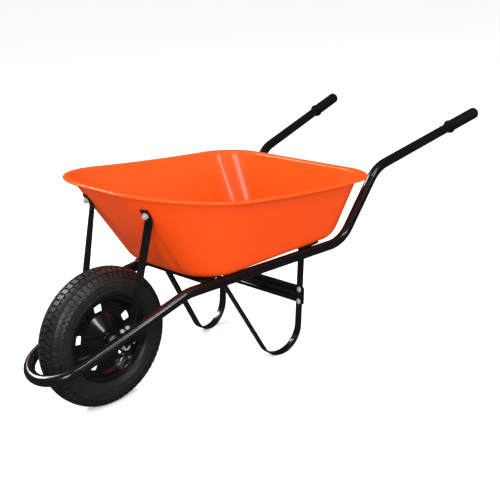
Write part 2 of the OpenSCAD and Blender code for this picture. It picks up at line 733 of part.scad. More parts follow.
// ---- axle brackets and axle ----
module axle_bracket(side) {
    reach = 40;
    boss_r = 17;
    under = tube_r + touch;
    color("#161616") place() difference() {
        intersection() {
            union() {
                at_tube(side, 0) translate([-bracket_l / 2 + 1, -reach, -under - bracket_t])
                    cube([bracket_l, 2 * reach, bracket_t]);
                translate([0, side * (bracket_in + bracket_t / 2), axle_z]) rotate([90, 0, 0])
                    linear_extrude(height = bracket_t, center = true) {
                        circle(r = boss_r);
                        polygon([[-boss_r, 0], [boss_r, 0], [bracket_l / 2 - 1, tube_rise], [-bracket_l / 2 + 1, tube_rise]]);
                    }
            }
            at_tube(side, 0) translate([-60, -60, -80]) cube([120, 120, 80 - under]);
            translate([-60, side > 0 ? bracket_in : -bracket_in - 36, axle_z - 40]) cube([120, 36, 80]);
        }
        translate([0, 0, axle_z]) rotate([90, 0, 0]) cylinder(h = 240, d = axle_d + hole_play / 2, center = true);
        for (x = bracket_bolt_xs) at_tube(side, x) translate([0, 0, -tube_d]) cylinder(h = tube_d, d = small_bolt_d + hole_play);
    }
}

// Frame with Z along the axle, outwards on the given side
module on_axle(side, out) {
    translate([0, side * out, axle_z]) rotate([-90 * side, 0, 0]) children();
}

module axle() {
    color("#b9bcbf") place() on_axle(1, -axle_end) union() {
        translate([0, 0, 1]) cylinder(h = 2 * axle_end - 2, d = axle_d);
        for (z = [0, 2 * axle_end - 1]) translate([0, 0, z]) cylinder(h = 1, d = axle_d - 2);
    }
}

module axle_spacer(side) {
    from = hub_half + bush_flange_t + spacer_clear;
    color("#8d9093") place() on_axle(side, from) washer(axle_d + 7, bracket_in - touch - from, axle_d + spacer_gap);
}

module axle_washers() {
    color("#c4c6c8") place() for (side = sides)
        on_axle(side, bracket_in + bracket_t + touch) washer(22, washer_t, axle_d + spacer_gap);
}

module axle_nuts() {
    color("#c4c6c8") place() for (side = sides)
        on_axle(side, bracket_in + bracket_t + 2 * touch + washer_t) nut(19, axle_nut_t, axle_d + 2 * touch);
}

// ---- bolts, washers and nuts ----
module tub_bolts() {
    through = sheet_t + plate_t + bar_t + 3 * touch;
    color("#c4c6c8") place() for_tub_bolts()
        translate([0, 0, sheet_t + touch]) dome_bolt(bolt_d, through + bolt_washer_t + nut_t + thread_out);
}

module tub_washers() {
    color("#c4c6c8") place() for_tub_bolts()
        translate([0, 0, -plate_t - bar_t - 2 * tab_settle - 4 * touch - bolt_washer_t]) washer(17, bolt_washer_t, bolt_d + hole_play);
}

module tub_nuts() {
    color("#c4c6c8") place() for_tub_bolts()
        translate([0, 0, -plate_t - bar_t - 2 * tab_settle - 5 * touch - bolt_washer_t - nut_t]) nut(13, nut_t, bolt_d + 2 * touch);
}

module strut_bolts() {
    out = bar_t + bolt_washer_t + nut_t + thread_out;
    head_gap = 0.7;
    color("#c4c6c8") place() for (side = sides) at_strut_bolt(side)
        translate([0, 0, -sheet_t - head_gap]) mirror([0, 0, 1]) dome_bolt(bolt_d, out + sheet_t);
}

module strut_washers() {
    color("#c4c6c8") place() for (side = sides) at_strut_bolt(side)
        translate([0, 0, bar_t + wall_gap + 2 * touch]) washer(17, bolt_washer_t, bolt_d + hole_play);
}

module strut_nuts() {
    color("#c4c6c8") place() for (side = sides) at_strut_bolt(side)
        translate([0, 0, bar_t + wall_gap + bolt_washer_t + 3 * touch]) nut(13, nut_t, bolt_d + 2 * touch);
}

module bracket_bolts() {
    grip_length = bar_t + tube_d + bracket_t + 3 * touch;
    color("#c4c6c8") place() for (side = sides) for (x = bracket_bolt_xs) at_tube(side, x)
        translate([0, 0, tube_r + bar_t + 2 * touch])
            hex_bolt(small_bolt_d, 10, 4, grip_length + small_nut_t + thread_out);
}

module bracket_nuts() {
    color("#c4c6c8") place() for (side = sides) for (x = bracket_bolt_xs) at_tube(side, x)
        translate([0, 0, -tube_r - bracket_t - small_nut_t - 2 * touch]) nut(10, small_nut_t, small_bolt_d + 2 * touch);
}

module cross_member_bolts() {
    color("#c4c6c8") place() for_member_bolts()
        translate([0, 0, bar_t / 2 + touch]) dome_bolt(bolt_d, bar_t + member_t + nut_t + thread_out);
}

module cross_member_nuts() {
    color("#c4c6c8") place() for_member_bolts()
        translate([0, 0, -bar_t / 2 - member_t - nut_t - 2 * touch]) nut(13, nut_t, bolt_d + 2 * touch);
}

// ---- wheel ----
// Turns a section drawn as [radius, distance from the middle plane] round the axle
module turned(side = 1) {
    translate([0, 0, axle_z]) rotate([-90 * side, 0, 0]) rotate_extrude($fn = 120) children();
}

bead_r = seat_r + rim_t / 2 + bead_gap;
tyre_mid_r = rim_r + 26;
crown_r = axle_z;
tyre_half = tyre_w / 2;
function swell(v) = sign(v) * pow(abs(v), 0.85);
function tyre_arc(crown, half, low, a0) = [for (a = [a0:10:180 - a0])
    [tyre_mid_r + (sin(a) > 0 ? (crown - tyre_mid_r) * swell(sin(a)) : (tyre_mid_r - low) * sin(a)), half * swell(cos(a))]];
bead_out = flange_half - 5.5;
bead_in = 12;

module tyre() {
    bead = [[rim_r - 1, bead_out], [bead_r + 2, bead_out - 3], [bead_r, bead_out - 4], [bead_r, bead_in]];
    color("#26272a") place() turned() difference() {
        polygon(concat(
            tyre_arc(crown_r, tyre_half, rim_r - 9, -40),
            [for (p = bead) [p[0], -p[1]]],
            [[rim_r + 1, -bead_in - 2]],
            [for (p = tyre_arc(crown_r - 10, tyre_half - casing, rim_r, -40)) [p[0], -p[1]]],
            [[rim_r + 1, bead_in + 2]],
            [for (i = [len(bead) - 1:-1:0]) bead[i]]
        ));
        for (y = [-11, 11]) translate([crown_r, y]) circle(d = 5, $fn = 24);
    }
}

module inner_tube() {
    half = tyre_half - casing - 1;
    crown = crown_r - 11;
    low = rim_r + 4;
    mid = (crown + low) / 2;
    wall = 2;
    function ring(inset) = [for (a = [0:10:350]) [mid + (mid - low - inset) * sin(a), (half - inset) * 0.9 * cos(a)]];
    color("#303134") place() turned() difference() {
        polygon(ring(0));
        polygon(ring(wall));
    }
}

// Frame with Z down the valve: out of the tyre, towards the axle and the left side.
// It goes through the sloping wall of the left rim half.
valve_wall = [(web_r + 3 + seat_r - 1) / 2, -(5 + flange_half - 20) / 2];
valve_back = (rim_r + 0.5 - valve_wall[0]) / cos(valve_tilt);
module at_valve() {
    translate([0, 0, axle_z]) rotate([0, -valve_angle, 0])
        translate([valve_wall[0], valve_wall[1], 0]) rotate([valve_tilt, -90, 0])
            translate([0, 0, -valve_back]) children();
}

module valve_stem() {
    color("#1b1b1c") place() at_valve() union() {
        cylinder(h = valve_l, r = valve_r);
        translate([0, 0, valve_l - 1]) cylinder(h = valve_tip_l + 1, r = valve_tip_r);
    }
}

module valve_cap() {
    cap_l = 12;
    color("#141414") place() at_valve() translate([0, 0, valve_l + touch]) difference() {
        cylinder(h = cap_l, r = valve_r + 0.2);
        translate([0, 0, -1]) cylinder(h = valve_tip_l + 2, r = valve_tip_r + 2 * touch);
    }
}

rim_mid = rim_t / 2 + touch;
function rim_section() = [
    [rim_r, flange_half - 1], [rim_r - 1, flange_half - 3.5], [rim_r - 5, flange_half - 4.5],
    [seat_r, flange_half - 6.5], [seat_r - 1, flange_half - 20], [web_r + 3, 5], [web_r, rim_mid],
    [disc_in_r + 4, rim_mid], [disc_in_r - 4, 6], [hub_r + 9, cone_y],
    [hub_r + hub_fit + rim_t / 2, cone_y + 3], [hub_r + hub_fit + rim_t / 2, cone_y + 9]
];

module window_cutters() {
    round_r = 5;
    for (i = [0:window_count - 1])
        translate([0, 0, axle_z]) rotate([0, -window_angle - i * 360 / window_count, 0])
            rotate([90, 0, 0]) linear_extrude(height = 20, center = true)
                translate([window_r, 0]) {
                    square([window_t, window_w - 2 * round_r], center = true);
                    square([window_t - 2 * round_r, window_w], center = true);
                    for (x = sides) for (y = sides)
                        translate([x * (window_t / 2 - round_r), y * (window_w / 2 - round_r)]) circle(r = round_r, $fn = 32);
                }
}
module for_rivets() {
    for (i = [0:window_count - 1])
        translate([0, 0, axle_z]) rotate([0, -window_angle - (i + 0.5) * 360 / window_count, 0])
            translate([window_r, 0, 0]) rotate([90, 0, 0]) children();
}

module rim_half(side) {
    color("#1d1d1f") place() difference() {
        turned(side) polygon(thick(rim_section(), rim_t));
        window_cutters();
        for_rivets() cylinder(h = 20, d = rivet_d + hole_play / 2, center = true);
        if (side < 0) at_valve() cylinder(h = valve_l, r = valve_r + 0.3);
    }
}
module rim_rivets() {
    gap = 2 * rim_mid + rim_t;
    color("#1d1d1f") place() for_rivets() union() {
        cylinder(h = gap + 2 * touch, d = rivet_d, center = true);
        for (z = [-gap / 2 - touch - rivet_head_t, gap / 2 + touch])
            translate([0, 0, z]) cylinder(h = rivet_head_t, d = rivet_head_d);
    }
}

module hub_tube() {
    color("#1f1f21") place() on_axle(1, -hub_half) difference() {
        cylinder(h = hub_l, r = hub_r);
        translate([0, 0, -1]) cylinder(h = hub_l + 2, r = bush_r);
    }
}

module hub_bush(side) {
    color("#111112") place() on_axle(side, hub_half) difference() {
        union() {
            translate([0, 0, -bush_l]) cylinder(h = bush_l + 1, r = bush_r - touch);
            translate([0, 0, touch]) cylinder(h = bush_flange_t - touch, r = hub_r);
        }
        translate([0, 0, -bush_l - 1]) cylinder(h = bush_l + bush_flange_t + 2, r = axle_r + bush_clear);
    }
}

frame_tube();
grip(-1);  // grip_left
grip(1);  // grip_right
tub();
cross_plate_front();
cross_plate_rear();
strut(-1);  // strut_left
strut(1);  // strut_right
leg(-1);  // leg_left
leg(1);  // leg_right
leg_cross_member();
axle_bracket(-1);  // axle_bracket_left
axle_bracket(1);  // axle_bracket_right
axle();
axle_spacer(-1);  // axle_spacer_left
axle_spacer(1);  // axle_spacer_right
axle_washers();
axle_nuts();
tub_bolts();
tub_washers();
tub_nuts();
strut_bolts();
strut_washers();
strut_nuts();
bracket_bolts();
bracket_nuts();
cross_member_bolts();
cross_member_nuts();
tyre();
inner_tube();
valve_stem();
valve_cap();
rim_half(-1);  // rim_half_left
rim_half(1);  // rim_half_right
rim_rivets();
hub_tube();
hub_bush(-1);  // hub_bush_left
hub_bush(1);  // hub_bush_right
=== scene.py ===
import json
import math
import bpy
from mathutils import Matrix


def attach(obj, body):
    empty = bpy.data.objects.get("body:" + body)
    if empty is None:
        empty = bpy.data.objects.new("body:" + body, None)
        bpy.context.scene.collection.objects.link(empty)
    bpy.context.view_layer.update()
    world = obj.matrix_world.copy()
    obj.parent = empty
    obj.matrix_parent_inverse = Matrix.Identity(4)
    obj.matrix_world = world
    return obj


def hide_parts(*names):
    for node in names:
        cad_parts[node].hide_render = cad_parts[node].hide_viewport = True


bl_info = {
    "name": "Wheelbarrow builder",
    "version": (1, 0, 0),
    "blender": (4, 5, 0),
    "location": "View3D > Sidebar > Barrow",
    "description": "Builds a steel wheelbarrow round its packed frame",
    "category": "Object",
}

import bmesh
import bpy
from mathutils import Matrix, Vector

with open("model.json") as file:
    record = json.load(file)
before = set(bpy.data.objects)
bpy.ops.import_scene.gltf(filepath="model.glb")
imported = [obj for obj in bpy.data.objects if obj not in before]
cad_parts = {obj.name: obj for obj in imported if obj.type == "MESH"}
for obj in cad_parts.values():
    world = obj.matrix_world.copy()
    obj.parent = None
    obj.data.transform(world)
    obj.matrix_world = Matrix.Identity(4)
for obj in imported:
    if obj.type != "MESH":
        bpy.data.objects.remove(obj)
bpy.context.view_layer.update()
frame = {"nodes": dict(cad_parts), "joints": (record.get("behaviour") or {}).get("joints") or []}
SIDES = (-1, 1)
AXLE = Vector(frame["joints"][0]["pos_m"])
TOUCH = 0.02
WELD = 0.002
SHARP = math.radians(35)
BAR_EASE = 0.7
BRACKET_FACE, BRACKET_T = 80.0, 4.0
SEAT_DROP, WEB_DROP = 10.5, 9.0
WINDOW_RING, FIRST_WINDOW = 79.0, math.radians(98)


# ---------------------------------------------------------------- sizes and colours
def length(name, text, mm):
    return bpy.props.FloatProperty(name=name, description=text + ", in millimetres", default=mm, min=0.0)


def angle(name, text, degrees):
    return bpy.props.FloatProperty(
        name=name, description=text, default=math.radians(degrees), subtype="ANGLE", unit="ROTATION"
    )


def colour(name, text, value):
    return bpy.props.FloatVectorProperty(
        name=name, description=text, default=value, size=3, min=0.0, max=1.0, subtype="COLOR"
    )


class BarrowSizes(bpy.types.PropertyGroup):
    tyre_r: length("Tyre radius", "Height of the axle over the floor", AXLE.z * 1000)
    tyre_w: length("Tyre width", "Width over the sidewalls", 86)
    rim_r: length("Rim radius", "Radius over the bead flanges", 112)
    rim_w: length("Rim width", "Width over the bead flanges", 60)
    rim_t: length("Rim sheet", "Thickness of the rim's steel", 1.6)
    windows: bpy.props.IntProperty(name="Windows", description="Openings in the rim disc", default=5, min=3)
    tread_blocks: bpy.props.IntProperty(
        name="Tread blocks", description="Blocks in one row", default=66, min=30
    )
    tread_depth: length("Tread depth", "Depth of the grooves", 4.2)
    hub_r: length("Hub radius", "Outer radius of the hub tube", 16)
    hub_half: length("Half hub length", "Half the length of the hub tube", 40)
    axle_r: length("Axle radius", "Radius of the axle", 6)
    tube_r: length("Tube radius", "Radius of the frame tube", 14)
    tube_rise: length("Tube rise", "Tube centre over the axle", 32)
    tube_half: length("Tube spread", "Tube centre from the middle plane at the axle", 103)
    taper: angle("Taper", "How far each side runs outwards", 7.86)
    front_slope: angle("Front slope", "Slope of the tube beside the wheel", 19.8)
    deck_slope: angle("Deck slope", "Slope of the tube under the tub", 2.4)
    rise_slope: angle("Rise slope", "Slope of the tube behind the tub", 55)
    handle_slope: angle("Handle slope", "Slope of the handles", 13.8)
    loop_reach: length("Loop reach", "Front loop ahead of the axle", 203)
    front_bend_x: length("Front bend", "Axle to front bend", 176)
    rear_bend_x: length("Rear bend", "Axle to rear bend", 715)
    upper_bend_x: length("Upper bend", "Axle to upper bend", 852)
    handle_end_x: length("Handle end", "Axle to the end of the grips", 1306)
    lower_bend_r: length("Lower bend radius", "Radius of the two lower bends", 95)
    upper_bend_r: length("Upper bend radius", "Radius of the upper bend", 100)
    grip_l: length("Grip length", "Length of each grip", 134)
    grip_r: length("Grip radius", "Radius of each grip", 17.5)
    collar_r: length("Collar radius", "Radius of the collar", 20.5)
    tub_x: length("Tub front", "Axle to the front of the rim", 5)
    tub_l: length("Tub length", "Length over the rim", 771)
    tub_w: length("Tub width", "Width over the rim at the rear", 596)
    tub_narrow: length("Rim narrowing", "How much narrower the rim is in front", 14)
    tub_front_depth: length("Front depth", "Depth at the front", 266)
    tub_rear_depth: length("Rear depth", "Depth at the rear", 183)
    rim_sag: length("Rim sag", "Dip of the rim half way along", 14)
    side_bow: length("Side bow", "Outward bow of the long sides", 13)
    floor_l: length("Floor length", "Length of the floor outline", 542)
    floor_w: length("Floor width", "Width of the floor outline at the rear", 398)
    floor_narrow: length("Floor narrowing", "How much narrower the floor is in front", 52)
    rim_front_r: length("Rim front corner", "Corner radius of the rim in front", 240)
    rim_rear_r: length("Rim rear corner", "Corner radius of the rim at the rear", 115)
    floor_front_r: length("Floor front corner", "Corner radius of the floor in front", 104)
    floor_rear_r: length("Floor rear corner", "Corner radius of the floor at the rear", 100)
    fold_at: bpy.props.FloatProperty(
        name="Fold bearing",
        description="Where the fold in each front corner stands, in degrees off the front", default=11.0
    )
    fold_depth: length("Fold depth", "Depth of the fold pressed into each front corner", 4.4)
    fold_w: length("Fold width", "Half width of the steep side of that fold", 10)
    rear_setback: length("Rear setback", "Foot of the rear wall inside the rim", 34)
    lip_w: length("Lip width", "Width of the flat rim with its roll", 18)
    sheet_t: length("Sheet", "Thickness of the tub's steel", 1.2)
    bar_w: length("Bar width", "Width of the flat bar", 23)
    bar_t: length("Bar thickness", "Thickness of the flat bar", 5)
    leg_gap: length("Leg gap", "Gap between leg and tube", 3)
    leg_rear_x: length("Leg rear", "Axle to the rear bar of the leg", 580)
    foot_r: length("Foot radius", "Bend radius of the foot", 75)
    leg_front_slope: angle("Leg slope", "Slope of the leg's front bar", 59.4)
    leg_lean: angle("Leg lean", "Lean of the leg's rear bar", 3)
    plate_t: length("Plate height", "Height of the cross plates", 6)
    plate_l: length("Plate length", "Cross plate along the frame", 80)
    member_h: length("Member height", "Height of the cross member", 50)
    member_z: length("Member level", "Middle of the cross member over the floor", 158)
    bolt_r: length("Bolt radius", "Radius of the larger bolts", 4)
    small_bolt_r: length("Small bolt radius", "Radius of the bracket bolts", 3)


class BarrowColours(bpy.types.PropertyGroup):
    tub: colour("Tub paint", "Gloss paint of the tub", (0.96, 0.083, 0.006))
    black: colour("Black paint", "Gloss paint of the frame and legs", (0.004, 0.004, 0.0044))
    rim: colour("Rim paint", "Gloss paint of the rim", (0.0035, 0.0035, 0.004))
    rubber: colour("Rubber", "Tyre rubber", (0.010, 0.010, 0.0108))
    grip: colour("Grip", "Moulded grip", (0.005, 0.005, 0.0054))
    zinc: colour("Zinc", "Zinc plating", (0.70, 0.71, 0.70))
    # The steel colour is set dark grey, so the axle and its sleeves show no pale disc inside the wheel
    steel: colour("Steel", "Blackened turned steel", (0.11, 0.11, 0.112))
    nylon: colour("Nylon", "Bushes", (0.012, 0.012, 0.013))
    floor: colour("Floor", "Studio floor", (0.93, 0.93, 0.93))


def S():
    return bpy.context.scene.barrow_sizes


def C(name):
    return (*getattr(bpy.context.scene.barrow_colours, name), 1.0)


# ---------------------------------------------------------------- places, in millimetres from the axle
def turn(axis, a):
    return Matrix.Rotation(a, 4, axis)


def move(x, y, z):
    return Matrix.Translation((x, y, z))


def half_at(x):
    return S().tube_half + x * math.tan(S().taper)


def plane_run():
    return 1 / math.cos(S().taper)


def side_plane(side, inset=0.0):
    """A side's upright plane, running outwards to the rear."""
    return move(0, side * (S().tube_half - inset / math.cos(S().taper)), 0) @ turn("Z", side * S().taper)


def tube_z0():
    return S().tyre_r + S().tube_rise


def heights():
    """Heights of the tube's three bends."""
    s = S()
    front = tube_z0() + s.front_bend_x * math.tan(s.front_slope)
    rear = front + (s.rear_bend_x - s.front_bend_x) * math.tan(s.deck_slope)
    return front, rear, rear + (s.upper_bend_x - s.rear_bend_x) * math.tan(s.rise_slope)


def deck_z(x, above):
    s = S()
    return heights()[0] + (x - s.front_bend_x) * math.tan(s.deck_slope) + above / math.cos(s.deck_slope)


def plate_under():
    return S().tube_r + TOUCH


def tub_under():
    return plate_under() + S().plate_t + TOUCH


def in_plane(slope):
    return math.atan(math.tan(slope) * math.cos(S().taper))


def handle_tube_x():
    s = S()
    along = math.cos(in_plane(s.handle_slope)) * math.cos(s.taper)
    reach = 3 * along + (s.grip_r - 9) * math.sqrt(1 - along * along) + 9
    return s.handle_end_x - reach


def at_handle(side):
    s = S()
    x = handle_tube_x()
    z = heights()[2] + (x - s.upper_bend_x) * math.tan(s.handle_slope)
    return side_plane(side) @ move(x * plane_run(), 0, z) @ turn(
        "Y", math.pi / 2 - in_plane(s.handle_slope)
    )


def at_tube(side, x):
    s = S()
    place = move(x * plane_run(), 0, tube_z0() + x * math.tan(s.front_slope))
    return side_plane(side) @ place @ turn("Y", -in_plane(s.front_slope))


def on_axle(side, out):
    return move(0, side * out, S().tyre_r) @ turn("X", -side * math.pi / 2)


def leg_inset():
    return S().tube_r + S().leg_gap + S().bar_w / 2


def leg_half_at(x):
    return half_at(x) - leg_inset() / math.cos(S().taper)


def leg_corners():
    """Corners of the leg's line and the top of its rear bar, as [along, height]."""
    s = S()
    mid_r = s.foot_r - s.bar_t / 2
    lean, slope = s.leg_lean, s.leg_front_slope
    settle = TOUCH + s.bar_w / 2 * math.sin(s.taper) * math.tan(s.deck_slope)
    centre = Vector(((s.leg_rear_x - s.bar_t / 2) * plane_run() - mid_r * math.cos(lean), s.foot_r))
    front = centre + mid_r * Vector((-math.sin(slope), -math.cos(slope)))
    rear = centre + mid_r * Vector((math.cos(lean), -math.sin(lean)))
    down = Vector((-math.cos(slope), math.sin(slope)))
    gap = rear - front
    det = down.x * math.cos(lean) - down.y * math.sin(lean)
    meet = front + (gap.x * math.cos(lean) - gap.y * math.sin(lean)) / det * down
    k = math.tan(in_plane(s.deck_slope))
    top = deck_z(0, plate_under() - TOUCH - settle) - s.bar_t / 2

    def hit(p, back):
        z = (top + k * (p.x - back * p.y)) / (1 - k * back)
        return Vector((p.x + back * (z - p.y), z))

    a, b = hit(front, -1 / math.tan(slope)), hit(rear, math.tan(lean))
    tab = 34 * Vector((math.cos(math.atan(k)), math.sin(math.atan(k))))
    return [a - tab, a, meet, b, b + tab], rear


def tub_bolt_xs():
    line, _ = leg_corners()
    return [(line[1].x - 20) * math.cos(S().taper), (line[3].x + 20) * math.cos(S().taper)]


def tub_bolt_places():
    return [
        move(x, side * leg_half_at(x), deck_z(x, tub_under())) @ turn("Y", -S().deck_slope)
        for side in SIDES
        for x in tub_bolt_xs()
    ]


def on_rear_bar(side, up):
    s = S()
    _, rear = leg_corners()
    z = s.member_z + up
    place = move(rear.x + math.tan(s.leg_lean) * (z - rear.y), 0, z)
    return side_plane(side, leg_inset()) @ place @ turn("Y", s.leg_lean - math.pi / 2)


def island_centre(node, side):
    """Middle of what a node has on one side, in millimetres from the axle."""
    points = [v.co for v in frame["nodes"][node].data.vertices if v.co.y * side > 0]
    low = Vector([min(p[i] for p in points) for i in range(3)])
    high = Vector([max(p[i] for p in points) for i in range(3)])
    middle = (low + high) / 2 * 1000
    return Vector((middle.x - AXLE.x * 1000, middle.y, middle.z))


def strut_seat(side):
    """Where the strut meets the tub's front wall, and the wall's outward direction."""
    washer, nut = island_centre("strut_washers", side), island_centre("strut_nuts", side)
    out = (nut - washer).normalized()
    return washer - out * 6.04, out


def at_strut_bolt(side):
    seat, out = strut_seat(side)
    across = Vector((-out.y, out.x, 0)).normalized()
    down = across.cross(out)
    return columns(down, across, out, seat)


def columns(x, y, z, p):
    m = Matrix.Identity(4)
    for i, v in enumerate((x, y, z, p)):
        for r in range(3):
            m[r][i] = v[r]
    return m


# ---------------------------------------------------------------- modelling tools
TO_ROW = Matrix.Scale(0.001, 4) @ Matrix.Translation((AXLE.x * 1000, 0, 0))


class Shape:
    """One piece in the making: parts are added in millimetres from the axle."""

    def __init__(self):
        self.bm = bmesh.new()

    def add(self, part, place=Matrix()):
        """Cleans a part, puts it in its place and takes it in."""
        bmesh.ops.remove_doubles(part, verts=part.verts[:], dist=WELD)
        bmesh.ops.recalc_face_normals(part, faces=part.faces[:])
        bmesh.ops.transform(part, matrix=place, verts=part.verts[:])
        return self.take(part)

    def take(self, part):
        keep = bpy.data.meshes.new("part")
        part.to_mesh(keep)
        part.free()
        self.bm.from_mesh(keep)
        bpy.data.meshes.remove(keep)
        return self

    def finish(self, name, body, nodes, slot, sharp=38.0):
        bmesh.ops.transform(self.bm, matrix=TO_ROW, verts=self.bm.verts[:])
        mesh = bpy.data.meshes.new(name)
        self.bm.to_mesh(mesh)
        self.bm.free()
        for face in mesh.polygons:
            face.use_smooth = True
        mesh.set_sharp_from_angle(angle=math.radians(sharp))
        mesh.materials.append(finish_for(slot))
        piece = bpy.data.objects.new(name, mesh)
        bpy.context.scene.collection.objects.link(piece)
        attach(piece, body)
        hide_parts(*nodes)
        return piece


def corners_of(geom):
    return [g for g in geom if isinstance(g, bmesh.types.BMVert)]


def edges_of(geom):
    return [g for g in geom if isinstance(g, bmesh.types.BMEdge)]


def everything(part):
    return part.verts[:] + part.edges[:] + part.faces[:]


def ring(part, points):
    """A closed loop of edges through the points."""
    made = bmesh.ops.create_circle(part, cap_ends=False, segments=len(points), radius=1.0)["verts"]
    for v, p in zip(made, points):
        v.co = p
    return made, [e for e in part.edges if e.verts[0] in made and e.verts[1] in made]


def pull(part, edges, matrix=None):
    """Extrudes edges and moves the new ones; gives the new edges and corners."""
    out = bmesh.ops.extrude_edge_only(part, edges=edges)["geom"]
    verts = corners_of(out)
    known = set(verts)
    new = [e for e in edges_of(out) if e.verts[0] in known and e.verts[1] in known]
    if matrix is not None:
        bmesh.ops.transform(part, matrix=matrix, verts=verts)
    return new, verts


def sweep(places, section):
    """Carries a closed section along a line of places and closes both ends."""
    part = bmesh.new()
    _, loop = ring(part, [places[0] @ Vector((x, y, 0)) for x, y in section])
    bmesh.ops.contextual_create(part, geom=loop)
    for a, b in zip(places, places[1:]):
        loop, _ = pull(part, loop, b @ a.inverted())
    bmesh.ops.contextual_create(part, geom=loop)
    return part


def lathe(profile, steps=96, closed=True):
    """Turns [radius, height] points round Z."""
    part = bmesh.new()
    verts = [part.verts.new((r, 0, h)) for r, h in profile]
    pairs = list(zip(verts, verts[1:])) + ([(verts[-1], verts[0])] if closed else [])
    edges = [part.edges.new(p) for p in pairs]
    bmesh.ops.spin(
        part, geom=verts + edges, cent=(0, 0, 0), axis=(0, 0, 1), dvec=(0, 0, 0),
        angle=math.tau, steps=steps, use_merge=True, use_duplicate=False,
    )
    return part


def slab(outline, thick, edge, steps):
    """A flat plate round Z = 0..thick with eased edges."""
    part = bmesh.new()
    _, loop = ring(part, [Vector((x, y, 0)) for x, y in outline])
    bmesh.ops.contextual_create(part, geom=loop)
    thicken(part, thick)
    bmesh.ops.recalc_face_normals(part, faces=part.faces[:])
    bevel(part, [e for e in part.edges if e.is_manifold and e.calc_face_angle(0.0) > SHARP], edge, steps)
    return part


def thicken(part, thick):
    """Gives flat faces a thickness along Z."""
    out = bmesh.ops.extrude_face_region(part, geom=part.faces[:])["geom"]
    bmesh.ops.translate(part, vec=(0, 0, thick), verts=corners_of(out))


def bevel(part, edges, width, steps):
    bmesh.ops.bevel(
        part, geom=edges, offset=width, offset_type="OFFSET", segments=steps, profile=0.5,
        affect="EDGES", material=-1, clamp_overlap=True,
    )


def circle_points(r, n):
    return [(r * math.cos(math.tau * i / n), r * math.sin(math.tau * i / n)) for i in range(n)]


def round_rect(w, h, r, n=6):
    """Outline of a rectangle with rounded corners."""
    points = []
    x, y = w / 2 - r, h / 2 - r
    for quarter, (cx, cy) in enumerate(((x, y), (-x, y), (-x, -y), (x, -y))):
        for i in range(n + 1):
            b = math.radians(90 * quarter + 90 * i / n)
            points.append((cx + r * math.cos(b), cy + r * math.sin(b)))
    return points


def bend_points(path, radii, i, steps):
    """The arc at a corner of a flat path."""
    p, q, r = path[i - 1], path[i], path[i + 1]
    a = math.atan2(q.y - p.y, q.x - p.x)
    b = math.atan2(r.y - q.y, r.x - q.x)
    t = (b - a + math.pi) % math.tau - math.pi
    way = 1 if t > 0 else -1
    rad = radii[i - 1]
    cut = rad * math.tan(abs(t) / 2)
    centre = q - cut * Vector((math.cos(a), math.sin(a))) + way * rad * Vector((-math.sin(a), math.cos(a)))
    start = a - way * math.pi / 2
    turns = [start + t * n / steps for n in range(steps + 1)]
    return [centre + rad * Vector((math.cos(b), math.sin(b))) for b in turns]


def ways_along(points):
    """The direction of a line at each of its points."""
    out = []
    for i, p in enumerate(points):
        back = (p - points[i - 1]).normalized() if i else (points[1] - p).normalized()
        on = (points[i + 1] - p).normalized() if i < len(points) - 1 else back
        out.append((back + on).normalized())
    return out


def places_along(points):
    """Places on a line in space: X across, Y upwards, Z along it."""
    out = []
    for p, way in zip(points, ways_along(points)):
        across = way.cross(Vector((0, 0, 1))).normalized()
        out.append(columns(across, across.cross(way), way, p))
    return out


def softened(corners, size, share=2.1):
    """Rounds the corners of a flat line."""
    points = [Vector(corners[0])]
    for a, b, c in zip(corners, corners[1:], corners[2:]):
        a, b, c = Vector(a), Vector(b), Vector(c)
        cut = min(size, (a - b).length / share, (c - b).length / share)
        p, q = b + (a - b).normalized() * cut, b + (c - b).normalized() * cut
        points += [blend(p, b, q, i / 4) for i in range(5)]
    return points + [Vector(corners[-1])]


def sheet_profile(points, t):
    """Both faces of a sheet that follows a line."""
    rows = []
    for way in (1, -1):
        row = []
        for i, p in enumerate(points):
            a, b = points[max(i - 1, 0)], points[min(i + 1, len(points) - 1)]
            tangent = (b - a).normalized()
            row.append(p + way * Vector((-tangent.y, tangent.x)) * t / 2)
        rows.append(row)
    return [(p.x, p.y) for p in rows[0] + rows[1][::-1]]


def blend(a, b, c, t):
    return a * (1 - t) ** 2 + b * (2 * t * (1 - t)) + c * t**2


# ---------------------------------------------------------------- finishes
def group(name, inputs, outputs):
    """An empty shader node group with named sockets."""
    tree = bpy.data.node_groups.new(name, "ShaderNodeTree")
    for label, kind, value in inputs:
        socket = tree.interface.new_socket(name=label, in_out="INPUT", socket_type=kind)
        socket.default_value = value
    for label, kind in outputs:
        tree.interface.new_socket(name=label, in_out="OUTPUT", socket_type=kind)
    return tree, tree.nodes.new("NodeGroupInput"), tree.nodes.new("NodeGroupOutput")


def feed(tree, socket, value):
    """Gives a socket a constant or another node's output."""
    if isinstance(value, (int, float, tuple)):
        socket.default_value = value
    else:
        tree.links.new(value, socket)


def noise(tree, vector, scale, detail=3.0, rough=0.5):
    node = tree.nodes.new("ShaderNodeTexNoise")
    node.inputs["Detail"].default_value = detail
    node.inputs["Roughness"].default_value = rough
    feed(tree, node.inputs["Vector"], vector)
    feed(tree, node.inputs["Scale"], scale)
    return node.outputs["Fac"]


def math_node(tree, operation, a, b, clamp=False):
    node = tree.nodes.new("ShaderNodeMath")
    node.operation = operation
    node.use_clamp = clamp
    feed(tree, node.inputs[0], a)
    feed(tree, node.inputs[1], b)
    return node.outputs[0]


def mix_colour(tree, share, a, b):
    node = tree.nodes.new("ShaderNodeMix")
    node.data_type = "RGBA"
    for slot, value in ((0, share), (6, a), (7, b)):
        feed(tree, node.inputs[slot], value)
    return node.outputs[2]


def spread(tree, value, low, high, to_low, to_high):
    """Carries a value from one range over to another."""
    node = tree.nodes.new("ShaderNodeMapRange")
    for slot, v in enumerate((value, low, high, to_low, to_high)):
        feed(tree, node.inputs[slot], v)
    return node.outputs[0]


